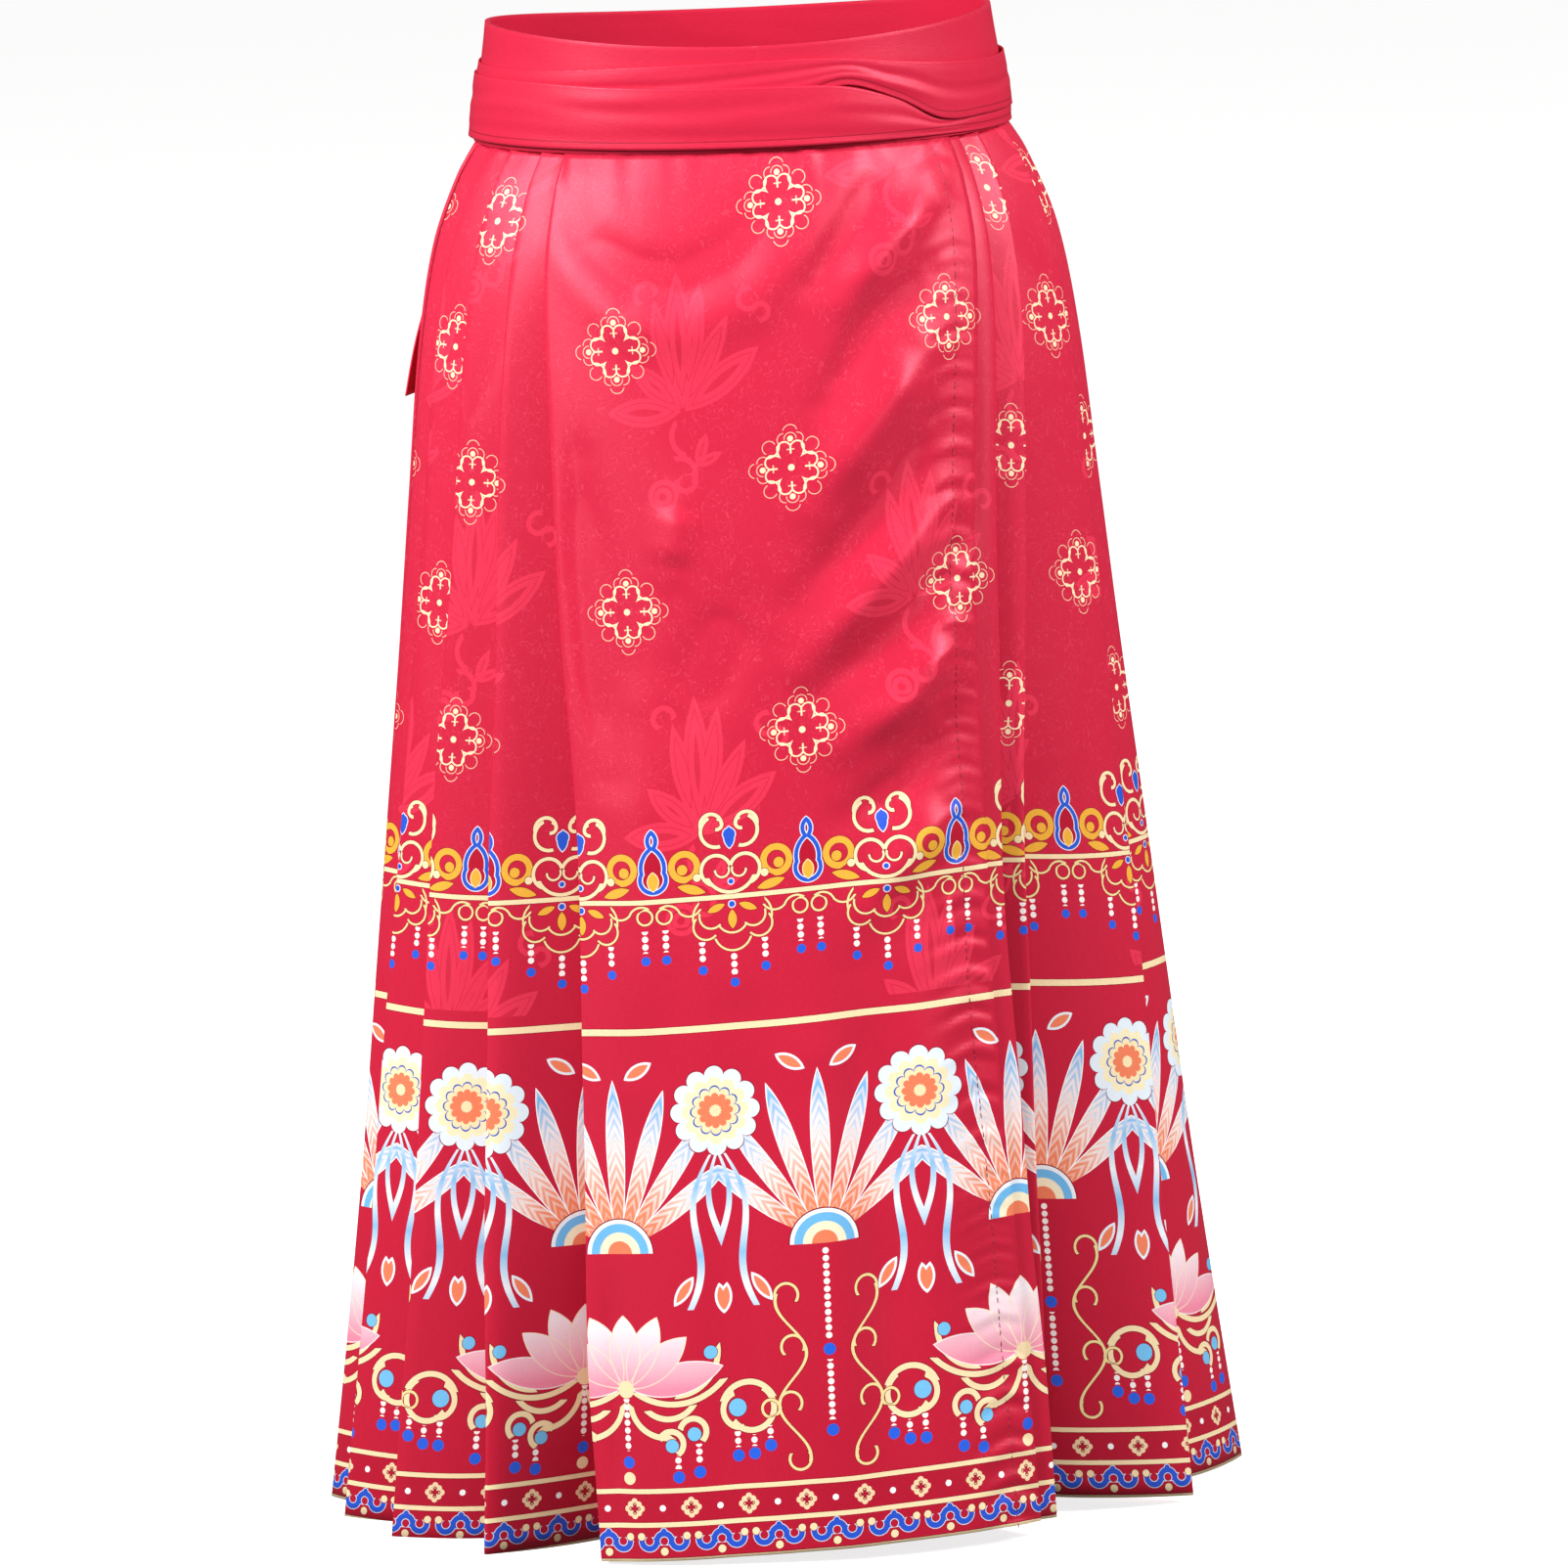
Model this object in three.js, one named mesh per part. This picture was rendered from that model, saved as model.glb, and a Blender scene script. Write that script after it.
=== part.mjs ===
// Horse-face skirt, a wrap skirt of printed satin in the form it takes when it is worn.
// Two mirrored halves of cloth overlap as flat panels at the front and at the back, and are laid in
// knife pleats at both sides. A stiff waistband carries them, and two ties go round it.
// Millimetres, +Z up. The front faces -Y, and the origin is in the middle of the waist opening.

import * as THREE from 'three';

// Driving sizes
const SATIN = 1.2; // wall that stands for the satin
const SEAM_GAP = 0.3; // clearance between pieces that are sewn together
const BAND_WALL = 3.0; // folded waistband
const BAND_FOOT = -34; // lower edge of the waistband
const BAND_TOP = 24; // upper edge of the waistband at the sides
const BAND_DIP_FRONT = 7.5; // how far the upper edge sinks in front
const BAND_DIP_BACK = 8; // and behind
const BAND_TOP_HALF_WIDTH = 124; // half width of the waist at the upper edge
const BAND_FOOT_HALF_WIDTH = 131.6; // and at the lower edge
const WAIST_DEPTH_RATIO = 0.76; // front to back half depth over half width, at the waist
const HEM_DEPTH_RATIO = 0.85; // the same at the hem
const UNDER_PANEL_DEPTH = 3.2; // how far an under panel lies inside the outer panel
const UNDER_FOLD_DEPTH = 1.7; // its fold comes out beyond the outer panel's edge
const FOLD_RADIUS = 1.35; // bend of the cloth at each fold
const LAYER_PITCH = 1.9; // least distance between the middles of two layers
const LARGEST_UNDERLAY = 32; // cloth folded back under a pleat
const TIE_WALL = 1.2;
const TIE_STEP = TIE_WALL + SEAM_GAP; // one layer of tie on another
const KNOT_ANGLE = -128; // the ties are knotted behind the left hip

const CLOTH_TOP = BAND_FOOT - SEAM_GAP;
const HEM = -710;

// The skirt's outer form. halfWidth is to the outermost folds, foldDepth is how far a pleat's hidden
// fold lies inside them.
const LEVELS = [
  { z: CLOTH_TOP, halfWidth: 131.0, foldDepth: 9.6 },
  { z: -50, halfWidth: 140.5, foldDepth: 10.4 },
  { z: -84, halfWidth: 153.5, foldDepth: 12.0 },
  { z: -134, halfWidth: 162.5, foldDepth: 15.0 },
  { z: -206, halfWidth: 170.0, foldDepth: 20.0 },
  { z: -290, halfWidth: 178.5, foldDepth: 26.5 },
  { z: -376, halfWidth: 188.0, foldDepth: 34.0 },
  { z: -462, halfWidth: 197.5, foldDepth: 41.5 },
  { z: -548, halfWidth: 207.0, foldDepth: 48.5 },
  { z: -632, halfWidth: 217.5, foldDepth: 55.5 },
  { z: HEM, halfWidth: 228.0, foldDepth: 62.0 },
];

// Fold lines of each quarter, as angles round the skirt from the middle of its panel, at five heights.
// free is the panel's own edge on the far side of that middle, and panel is its fold. sunk is how far
// a fold lies inside the outer form, and opened is how far its underlay swings out of hiding.
const FOLD_HEIGHTS = [CLOTH_TOP, -205, -370, -540, HEM];
const FOLDS = {
  frontLeft: [
    { name: 'free', at: [46.6, 35.4, 31.0, 29.8, 28.6] },
    { name: 'panel', at: [44.7, 38.4, 33.0, 31.0, 27.6], opened: [0, 0, 0, 8, 44] },
    { name: 'first', at: [51.5, 50.4, 49.8, 47.2, 44.6] },
    { name: 'second', at: [63.0, 62.6, 64.6, 63.2, 63.0] },
    { name: 'third', at: [73.0, 75.0, 77.5, 78.5, 79.0] },
    { name: 'fourth', at: [83.0, 86.0, 88.5, 90.5, 92.0] },
  ],
  frontRight: [
    { name: 'free', at: [31.0, 24.5, 21.0, 19.5, 18.5] },
    { name: 'panel', at: [50.8, 40.8, 34.8, 32.9, 31.4], opened: [0, 0, 0, 6, 22] },
    { name: 'first', at: [58.0, 47.6, 40.0, 38.6, 38.4], sunk: [0, 0, 4, 20, 40] },
    { name: 'second', at: [73.0, 71.6, 67.4, 62.4, 57.5] },
    { name: 'third', at: [83.5, 85.0, 86.0, 87.0, 88.0] },
    { name: 'fourth', at: [93.0, 96.0, 99.0, 101.0, 103.0] },
  ],
  backLeft: [
    { name: 'free', at: [31.0, 24.5, 21.0, 19.5, 18.5] },
    { name: 'panel', at: [49.0, 41.5, 36.5, 34.0, 32.5] },
    { name: 'first', at: [56.0, 51.5, 48.0, 46.0, 45.0] },
    { name: 'second', at: [66.5, 63.5, 61.0, 59.0, 57.5] },
    { name: 'third', at: [78.5, 75.5, 73.0, 70.5, 68.5] },
    { name: 'fourth', at: [92.0, 88.5, 85.5, 82.5, 80.0] },
  ],
  backRight: [
    { name: 'free', at: [45.0, 36.0, 31.5, 30.0, 29.0] },
    { name: 'panel', at: [43.0, 37.5, 32.5, 30.8, 29.5] },
    { name: 'first', at: [50.5, 46.5, 43.0, 41.0, 40.0] },
    { name: 'second', at: [60.0, 57.5, 54.5, 52.5, 51.0] },
    { name: 'third', at: [71.0, 68.5, 66.0, 63.5, 61.5] },
    { name: 'fourth', at: [82.0, 79.0, 76.0, 73.5, 71.5] },
  ],
};
const SIDE_CLEARANCE = 1.5; // degrees from a last fold's underlay to the middle of the side

// The two ties, round the waist from behind the knot. angle is measured from the front towards the
// right, foot and top are heights, and layer counts outwards from the waistband.
const TIE_COURSES = {
  tie_lower: [
    { angle: -126, foot: -31.5, top: -2, layer: 1 },
    { angle: -60, foot: -31.5, top: 0, layer: 1 },
    { angle: -25, foot: -31.8, top: -2, layer: 1 },
    { angle: 8, foot: -32, top: -3, layer: 1 },
    { angle: 20, foot: -32, top: -5, layer: 1 },
    { angle: 32, foot: -32.2, top: -13, layer: 0.5 },
    { angle: 44, foot: -32.4, top: -25, layer: 0 },
    { angle: 60, foot: -33, top: -21, layer: 0 },
    { angle: 110, foot: -33, top: -18, layer: 0 },
    { angle: 180, foot: -32, top: -12, layer: 0 },
    { angle: 230, foot: -31, top: -8, layer: 0 },
  ],
  tie_upper: [
    { angle: -126, foot: -16, top: 5, layer: 0 },
    { angle: -60, foot: -16, top: 5, layer: 0 },
    { angle: -25, foot: -14, top: 8, layer: 0 },
    { angle: 8, foot: -10, top: 9.5, layer: 0 },
    { angle: 20, foot: -4.4, top: 8.5, layer: 0 },
    { angle: 32, foot: -12.4, top: 5.5, layer: 0.5 },
    { angle: 44, foot: -24.4, top: 3, layer: 1 },
    { angle: 60, foot: -25.5, top: 1, layer: 1 },
    { angle: 110, foot: -25.5, top: 1, layer: 1 },
    { angle: 180, foot: -25, top: 2.5, layer: 1 },
    { angle: 230, foot: -24, top: 3.5, layer: 1 },
  ],
};

// What hangs from the knot: down each tail, its middle's angle, its width and its clearance outwards.
const TAILS = {
  tie_tail_front: [
    { z: -24.3, angle: -123, width: 15, out: 3.5 },
    { z: -60, angle: -122.5, width: 25, out: 4.0 },
    { z: -100, angle: -119.5, width: 28, out: 4.5 },
    { z: -135, angle: -114, width: 28, out: 6.5 },
    { z: -163, angle: -110, width: 28, out: 7.0 },
  ],
  tie_tail_back: [
    { z: -24.3, angle: -133, width: 15, out: 3.5 },
    { z: -75, angle: -136.5, width: 26, out: 3.5 },
    { z: -130, angle: -138, width: 28, out: 3.5 },
    { z: -185, angle: -138.5, width: 28, out: 3.5 },
    { z: -232, angle: -139, width: 28, out: 3.5 },
  ],
};
const KNOT = { foot: -24, top: 7, halfAngle: 9.5, bulge: 11, rim: 1.6 };

const COLOURS = {
  satin: { color: 0xc41e3a, roughness: 0.45, metalness: 0 },
  band: { color: 0xd9324c, roughness: 0.42, metalness: 0 },
};

// Straight-line value of a table's column at a height or angle
function lookUp(rows, key, column, value) {
  const rising = rows[rows.length - 1][key] > rows[0][key];
  for (let i = 1; i < rows.length; i += 1) {
    const before = rows[i - 1];
    const after = rows[i];
    const reached = rising ? value <= after[key] : value >= after[key];
    if (reached || i === rows.length - 1) {
      const share = (value - before[key]) / (after[key] - before[key]);
      return before[column] + (after[column] - before[column]) * THREE.MathUtils.clamp(share, 0, 1);
    }
  }
  return rows[0][column];
}

function depthRatio(z) {
  const share = THREE.MathUtils.clamp((CLOTH_TOP - z) / (CLOTH_TOP - HEM), 0, 1);
  return WAIST_DEPTH_RATIO + (HEM_DEPTH_RATIO - WAIST_DEPTH_RATIO) * share;
}

function skirtEllipse(z) {
  const halfWidth = lookUp(LEVELS, 'z', 'halfWidth', z);
  return { a: halfWidth, b: halfWidth * depthRatio(z) };
}

function bandEllipse(z) {
  const share = (z - BAND_FOOT) / (BAND_TOP - BAND_FOOT);
  const halfWidth = BAND_FOOT_HALF_WIDTH + (BAND_TOP_HALF_WIDTH - BAND_FOOT_HALF_WIDTH) * share;
  return { a: halfWidth, b: halfWidth * WAIST_DEPTH_RATIO };
}

// A point at an angle from the front, and a depth inside an ellipse
function roundPoint(ellipse, degrees, depth) {
  const t = THREE.MathUtils.degToRad(degrees);
  const normal = new THREE.Vector2(Math.sin(t) / ellipse.a, -Math.cos(t) / ellipse.b).normalize();
  return new THREE.Vector2(ellipse.a * Math.sin(t), -ellipse.b * Math.cos(t)).addScaledVector(normal, -depth);
}

function millimetresPerDegree(ellipse, degrees) {
  const t = THREE.MathUtils.degToRad(degrees);
  return THREE.MathUtils.degToRad(Math.hypot(ellipse.a * Math.cos(t), ellipse.b * Math.sin(t)));
}

// A fold's value at a height: its angle, how far it is sunk or how far it has opened
function foldValue(quarter, name, column, z) {
  const values = FOLDS[quarter].find((fold) => fold.name === name)[column];
  if (!values) {
    return 0;
  }
  const rows = FOLD_HEIGHTS.map((height, i) => ({ z: height, value: values[i] }));
  return lookUp(rows, 'z', 'value', z);
}

function foldAngle(quarter, name, z) {
  return foldValue(quarter, name, 'at', z);
}

const FOLD_ORDER = ['panel', 'first', 'second', 'third', 'fourth'];
const PANEL_STEPS = 9;
const FACE_STEPS = 3;
const TANGENT_STEP = 0.03; // share of a face over which its direction at a fold is taken
const PANEL_RISE_START = 0.9; // an under panel comes out to its fold from here
const LARGEST_UNDERLAY_SHARE = 0.45; // of the face in front of it

// One quarter of the cloth at one height, from the panel's free edge to the underlay of its last
// fold. Angles run from the middle of the panel, and folds face away from it.
function quarterPath(quarter, z, isUnderPanel) {
  const ellipse = skirtEllipse(z);
  const foldDepth = lookUp(LEVELS, 'z', 'foldDepth', z);
  const largestShare = Math.min(LARGEST_UNDERLAY_SHARE, 0.95 * (1 - (4 * FOLD_RADIUS) / foldDepth));
  const path = [];
  const breaks = [];
  const panelDepth = isUnderPanel ? UNDER_PANEL_DEPTH : 0;
  const panelFoldDepth = isUnderPanel ? UNDER_FOLD_DEPTH : 0;
  const free = -foldAngle(quarter, 'free', z);
  let start = { angle: free, depth: panelDepth };
  FOLD_ORDER.forEach((name, k) => {
    const sunk = foldValue(quarter, name, 'sunk', z);
    const end = { angle: foldAngle(quarter, name, z), depth: k === 0 ? panelFoldDepth : sunk };
    const steps = k === 0 ? PANEL_STEPS : FACE_STEPS;
    const along = (share) => {
      const angle = start.angle + (end.angle - start.angle) * share;
      const rise = k === 0 ? THREE.MathUtils.smoothstep(share, PANEL_RISE_START, 1) : share;
      return roundPoint(ellipse, angle, start.depth + (end.depth - start.depth) * rise);
    };
    const fold = along(1);
    const forward = fold.clone().sub(along(1 - TANGENT_STEP)).normalize();
    const inward = new THREE.Vector2(-forward.y, forward.x);
    if (k === 0) {
      path.push(along(0));
    }
    for (let i = 1; i < steps; i += 1) {
      path.push(along(i / steps));
    }
    const bend = fold.clone().addScaledVector(forward, -FOLD_RADIUS);
    path.push(bend);
    path.push(fold.clone().addScaledVector(inward, FOLD_RADIUS));
    path.push(bend.clone().addScaledVector(inward, 2 * FOLD_RADIUS));

    const scale = millimetresPerDegree(ellipse, end.angle);
    const width = (end.angle - start.angle) * scale;
    const nextName = FOLD_ORDER[k + 1];
    const nextWidth = nextName ? (foldAngle(quarter, nextName, z) - end.angle) * scale : LARGEST_UNDERLAY;
    const layersDepth = end.depth + 2 * FOLD_RADIUS + LAYER_PITCH;
    const besideNext = nextWidth * (foldDepth / layersDepth - 1);
    const behindFace = k === 0 ? LARGEST_UNDERLAY : largestShare * width;
    const tucked = Math.min(LARGEST_UNDERLAY, behindFace, besideNext);
    const underlay = tucked - foldValue(quarter, name, 'opened', z);
    const back = { angle: end.angle - underlay / scale, depth: foldDepth };
    const nextAngle = nextName ? foldAngle(quarter, nextName, z) : back.angle + 1;
    const nextDepth = nextName ? foldValue(quarter, nextName, 'sunk', z) : foldDepth;
    const corner = roundPoint(ellipse, back.angle, back.depth);
    const onward = roundPoint(
      ellipse,
      back.angle + (nextAngle - back.angle) * TANGENT_STEP,
      back.depth + (nextDepth - back.depth) * TANGENT_STEP,
    ).sub(corner).normalize();
    const nextInward = new THREE.Vector2(-onward.y, onward.x);
    breaks.push(path.length - 1);
    path.push(corner.clone().addScaledVector(nextInward, -2 * FOLD_RADIUS));
    path.push(corner.clone().addScaledVector(nextInward, -FOLD_RADIUS).addScaledVector(onward, -FOLD_RADIUS));
    path.push(corner);
    start = back;
  });
  return { path, panelEnd: breaks[0] };
}

// Quarter paths are drawn as if on the front right. The others are mirrored into place.
const PLACE = {
  frontLeft: (p) => new THREE.Vector2(-p.x, p.y),
  frontRight: (p) => p.clone(),
  backLeft: (p) => new THREE.Vector2(-p.x, -p.y),
  backRight: (p) => new THREE.Vector2(p.x, -p.y),
};

// A whole half of the cloth at one height: front panel, side pleats and back panel. It is joined from
// four widths, at the hidden underlays next to the panels and in the middle of the side.
function halfPath(side, z) {
  const frontName = side === 'left' ? 'frontLeft' : 'frontRight';
  const backName = side === 'left' ? 'backLeft' : 'backRight';
  const front = quarterPath(frontName, z, side === 'right');
  const back = quarterPath(backName, z, side === 'left');
  const frontPoints = front.path.map(PLACE[frontName]);
  const backPoints = back.path.map(PLACE[backName]);

  const ellipse = skirtEllipse(z);
  const foldDepth = lookUp(LEVELS, 'z', 'foldDepth', z);
  const lastFront = foldAngle(frontName, 'fourth', z);
  const lastBack = 180 - foldAngle(backName, 'fourth', z);
  const middle = (lastFront + lastBack) / 2;
  const seam = SEAM_GAP / 2 / millimetresPerDegree(ellipse, middle);
  const onSide = (angle) => PLACE[frontName](roundPoint(ellipse, angle, foldDepth));

  const cutAfter = (points, index) => {
    const from = points[index];
    const to = points[index + 1];
    const middlePoint = from.clone().add(to).multiplyScalar(0.5);
    const half = to.clone().sub(from).normalize().multiplyScalar(SEAM_GAP / 2);
    return { near: middlePoint.clone().sub(half), far: middlePoint.clone().add(half) };
  };
  const frontCut = cutAfter(frontPoints, front.panelEnd);
  const backCut = cutAfter(backPoints, back.panelEnd);
  return {
    frontPanel: [...frontPoints.slice(0, front.panelEnd + 1), frontCut.near],
    frontPleats: [
      frontCut.far,
      ...frontPoints.slice(front.panelEnd + 1),
      onSide(middle - SIDE_CLEARANCE),
      onSide(middle - seam),
    ],
    backPleats: [
      onSide(middle + seam),
      onSide(middle + SIDE_CLEARANCE),
      ...backPoints.slice(back.panelEnd + 1).reverse(),
      backCut.far,
    ],
    backPanel: [...backPoints.slice(0, back.panelEnd + 1), backCut.near],
  };
}

const SHARPEST_MITRE = 0.6; // cosine that limits how far a mitred corner reaches

// Both faces of a wall that follows a path, with mitred corners
function wallFaces(points, thickness) {
  const faces = { outer: [], inner: [] };
  points.forEach((point, i) => {
    const before = points[Math.max(i - 1, 0)];
    const after = points[Math.min(i + 1, points.length - 1)];
    const first = i === 0 ? after.clone().sub(point) : point.clone().sub(before);
    const second = i === points.length - 1 ? first.clone() : after.clone().sub(point);
    const n1 = new THREE.Vector2(first.y, -first.x).normalize();
    const n2 = new THREE.Vector2(second.y, -second.x).normalize();
    const mitre = n1.clone().add(n2).normalize();
    const reach = thickness / 2 / Math.max(mitre.dot(n1), SHARPEST_MITRE);
    faces.outer.push(point.clone().addScaledVector(mitre, reach));
    faces.inner.push(point.clone().addScaledVector(mitre, -reach));
  });
  return faces;
}

// A closed solid between two equal grids of points, or a ring where the columns join up
function solidBetween(outer, inner, isRing) {
  const rows = outer.length;
  const columns = outer[0].length;
  const positions = [];
  [outer, inner].forEach((grid) => grid.forEach((row) => row.forEach((p) => positions.push(p.x, p.y, p.z))));
  const index = [];
  const at = (face, row, column) => (face * rows + row) * columns + (column % columns);
  const quad = (a, b, c, d) => index.push(a, b, c, a, c, d);
  const lastColumn = isRing ? columns : columns - 1;
  for (let c = 0; c < lastColumn; c += 1) {
    for (let r = 0; r < rows - 1; r += 1) {
      quad(at(0, r, c), at(0, r + 1, c), at(0, r + 1, c + 1), at(0, r, c + 1));
      quad(at(1, r, c), at(1, r, c + 1), at(1, r + 1, c + 1), at(1, r + 1, c));
    }
    quad(at(0, 0, c), at(0, 0, c + 1), at(1, 0, c + 1), at(1, 0, c));
    quad(at(0, rows - 1, c), at(1, rows - 1, c), at(1, rows - 1, c + 1), at(0, rows - 1, c + 1));
  }
  if (!isRing) {
    for (let r = 0; r < rows - 1; r += 1) {
      quad(at(0, r, 0), at(1, r, 0), at(1, r + 1, 0), at(0, r + 1, 0));
      quad(at(0, r, lastColumn), at(0, r + 1, lastColumn), at(1, r + 1, lastColumn), at(1, r, lastColumn));
    }
  }
  const geometry = new THREE.BufferGeometry();
  geometry.setAttribute('position', new THREE.Float32BufferAttribute(positions, 3));
  geometry.setIndex(index);
  return turnedOutwards(geometry);
}

function turnedOutwards(geometry) {
  const position = geometry.getAttribute('position');
  const index = geometry.getIndex().array;
  const corner = [new THREE.Vector3(), new THREE.Vector3(), new THREE.Vector3()];
  let volume = 0;
  for (let i = 0; i < index.length; i += 3) {
    corner.forEach((c, k) => c.fromBufferAttribute(position, index[i + k]));
    volume += corner[0].dot(corner[1].clone().cross(corner[2]));
  }
  if (volume < 0) {
    for (let i = 0; i < index.length; i += 3) {
      [index[i], index[i + 1]] = [index[i + 1], index[i]];
    }
  }
  geometry.computeVertexNormals();
  return geometry;
}

const skirt = new THREE.Group();

function addPiece(name, geometry, colour) {
  const mesh = new THREE.Mesh(geometry, new THREE.MeshStandardMaterial(colour));
  mesh.name = name;
  skirt.add(mesh);
}

// Cloth panels and pleats
function addCloth(name, side, part) {
  const faces = LEVELS.map(({ z }) => {
    const { outer, inner } = wallFaces(halfPath(side, z)[part], SATIN);
    const lift = (row) => row.map((p) => new THREE.Vector3(p.x, p.y, z));
    return { outer: lift(outer), inner: lift(inner) };
  });
  const geometry = solidBetween(faces.map((f) => f.outer), faces.map((f) => f.inner), false);
  addPiece(name, geometry, COLOURS.satin);
}

addCloth('front_panel', 'left', 'frontPanel');
addCloth('left_front_pleats', 'left', 'frontPleats');
addCloth('left_back_pleats', 'left', 'backPleats');
addCloth('back_under_panel', 'left', 'backPanel');
addCloth('front_under_panel', 'right', 'frontPanel');
addCloth('right_front_pleats', 'right', 'frontPleats');
addCloth('right_back_pleats', 'right', 'backPleats');
addCloth('back_panel', 'right', 'backPanel');

// Waistband
const BAND_COLUMNS = 48;
const BAND_ROWS = 4;

function bandTop(degrees) {
  const facing = Math.cos(THREE.MathUtils.degToRad(degrees));
  const dip = facing > 0 ? BAND_DIP_FRONT : BAND_DIP_BACK;
  return BAND_TOP - dip * facing * facing;
}

function bandFace(depth) {
  return Array.from({ length: BAND_ROWS + 1 }, (_, r) => {
    return Array.from({ length: BAND_COLUMNS }, (_unused, c) => {
      const degrees = (360 * c) / BAND_COLUMNS;
      const z = BAND_FOOT + ((bandTop(degrees) - BAND_FOOT) * r) / BAND_ROWS;
      const p = roundPoint(bandEllipse(z), degrees, depth);
      return new THREE.Vector3(p.x, p.y, z);
    });
  });
}

addPiece('waistband', solidBetween(bandFace(0), bandFace(BAND_WALL), true), COLOURS.band);

// Ties round the waistband
const TIE_COLUMNS = 60;
const TIE_ROWS = 3;

function tieFace(course, depthInTie) {
  const first = course[0].angle;
  const last = course[course.length - 1].angle;
  return Array.from({ length: TIE_ROWS + 1 }, (_, r) => {
    return Array.from({ length: TIE_COLUMNS + 1 }, (_unused, c) => {
      const degrees = first + ((last - first) * c) / TIE_COLUMNS;
      const foot = lookUp(course, 'angle', 'foot', degrees);
      const top = lookUp(course, 'angle', 'top', degrees);
      const layer = lookUp(course, 'angle', 'layer', degrees);
      const z = foot + ((top - foot) * r) / TIE_ROWS;
      const outwards = SEAM_GAP + layer * TIE_STEP + TIE_WALL - depthInTie;
      const p = roundPoint(bandEllipse(z), degrees, -outwards);
      return new THREE.Vector3(p.x, p.y, z);
    });
  });
}

Object.entries(TIE_COURSES).forEach(([name, course]) => {
  addPiece(name, solidBetween(tieFace(course, 0), tieFace(course, TIE_WALL), false), COLOURS.band);
});

// Knot, a rounded pad over the meeting ends of the ties
const KNOT_STEPS = 8;

function knotFace(isOuter) {
  const seat = 2 * SEAM_GAP + TIE_STEP + TIE_WALL;
  return Array.from({ length: KNOT_STEPS + 1 }, (_, r) => {
    return Array.from({ length: KNOT_STEPS + 1 }, (_unused, c) => {
      const across = (2 * c) / KNOT_STEPS - 1;
      const up = (2 * r) / KNOT_STEPS - 1;
      const z = KNOT.foot + ((KNOT.top - KNOT.foot) * r) / KNOT_STEPS;
      const swell = Math.sqrt((1 - across * across) * (1 - up * up));
      const outwards = seat + (isOuter ? KNOT.rim + KNOT.bulge * swell : 0);
      const waist = 1 - 0.25 * up * up;
      const p = roundPoint(bandEllipse(z), KNOT_ANGLE + across * KNOT.halfAngle * waist, -outwards);
      return new THREE.Vector3(p.x, p.y, z);
    });
  });
}

addPiece('tie_knot', solidBetween(knotFace(true), knotFace(false), false), COLOURS.band);

// Tails that hang from the knot
const TAIL_ROWS = 8;
const TAIL_COLUMNS = 4;

function tailFace(stations, depthInTail) {
  const first = stations[0].z;
  const last = stations[stations.length - 1].z;
  return Array.from({ length: TAIL_ROWS + 1 }, (_, r) => {
    const z = first + ((last - first) * r) / TAIL_ROWS;
    const ellipse = z > CLOTH_TOP ? bandEllipse(z) : skirtEllipse(z);
    const middle = lookUp(stations, 'z', 'angle', z);
    const out = lookUp(stations, 'z', 'out', z);
    const halfAngle = lookUp(stations, 'z', 'width', z) / 2 / millimetresPerDegree(ellipse, middle);
    return Array.from({ length: TAIL_COLUMNS + 1 }, (_unused, c) => {
      const degrees = middle + halfAngle * ((2 * c) / TAIL_COLUMNS - 1);
      const p = roundPoint(ellipse, degrees, -(out + TIE_WALL - depthInTail));
      return new THREE.Vector3(p.x, p.y, z);
    });
  });
}

Object.entries(TAILS).forEach(([name, stations]) => {
  addPiece(name, solidBetween(tailFace(stations, 0), tailFace(stations, TIE_WALL), false), COLOURS.band);
});

export default skirt;
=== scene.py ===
import math
from functools import partial, reduce

import bmesh
import bpy
from mathutils import Matrix, Vector


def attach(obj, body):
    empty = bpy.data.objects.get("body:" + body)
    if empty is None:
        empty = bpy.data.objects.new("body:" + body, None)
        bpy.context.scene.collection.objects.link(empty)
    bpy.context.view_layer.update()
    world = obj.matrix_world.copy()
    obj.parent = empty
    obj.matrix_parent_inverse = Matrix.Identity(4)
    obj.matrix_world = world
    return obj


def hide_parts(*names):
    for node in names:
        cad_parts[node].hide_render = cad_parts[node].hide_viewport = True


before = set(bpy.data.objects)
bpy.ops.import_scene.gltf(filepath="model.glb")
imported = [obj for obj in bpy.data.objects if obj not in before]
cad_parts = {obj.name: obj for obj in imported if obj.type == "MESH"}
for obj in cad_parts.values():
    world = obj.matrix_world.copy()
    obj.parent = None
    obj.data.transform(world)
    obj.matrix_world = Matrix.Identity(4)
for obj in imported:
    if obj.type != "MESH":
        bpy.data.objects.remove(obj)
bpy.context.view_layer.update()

# Sizes in millimetres, as the skirt is cut. The front faces -Y and +X is the right seen from the front.
SATIN = 0.7
BAND_WALL = 2.6
BAND_EDGE = 0.9
BAND_FOOT = -34.0
BAND_TOP = 24.0
BAND_DIP_FRONT = 7.5
BAND_DIP_BACK = 8.0
BAND_TOP_HALF_WIDTH = 124.0
BAND_FOOT_HALF_WIDTH = 131.6
WAIST_DEPTH_RATIO = 0.76
HEM_DEPTH_RATIO = 0.85
UNDER_PANEL_DEPTH = 3.2
UNDER_FOLD_DEPTH = 1.7
FOLD_RADIUS = 1.2
LAYER_PITCH = 1.9
LARGEST_UNDERLAY = 32.0
LARGEST_UNDERLAY_SHARE = 0.45
SEAM_GAP = 0.3
TIE_WALL = 1.2
TIE_STEP = TIE_WALL + SEAM_GAP
CLOTH_TOP = BAND_FOOT - SEAM_GAP
HEM = -710.0
SIDE_CLEARANCE = 1.5
TIE_CLOTH = 0.9
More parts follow.
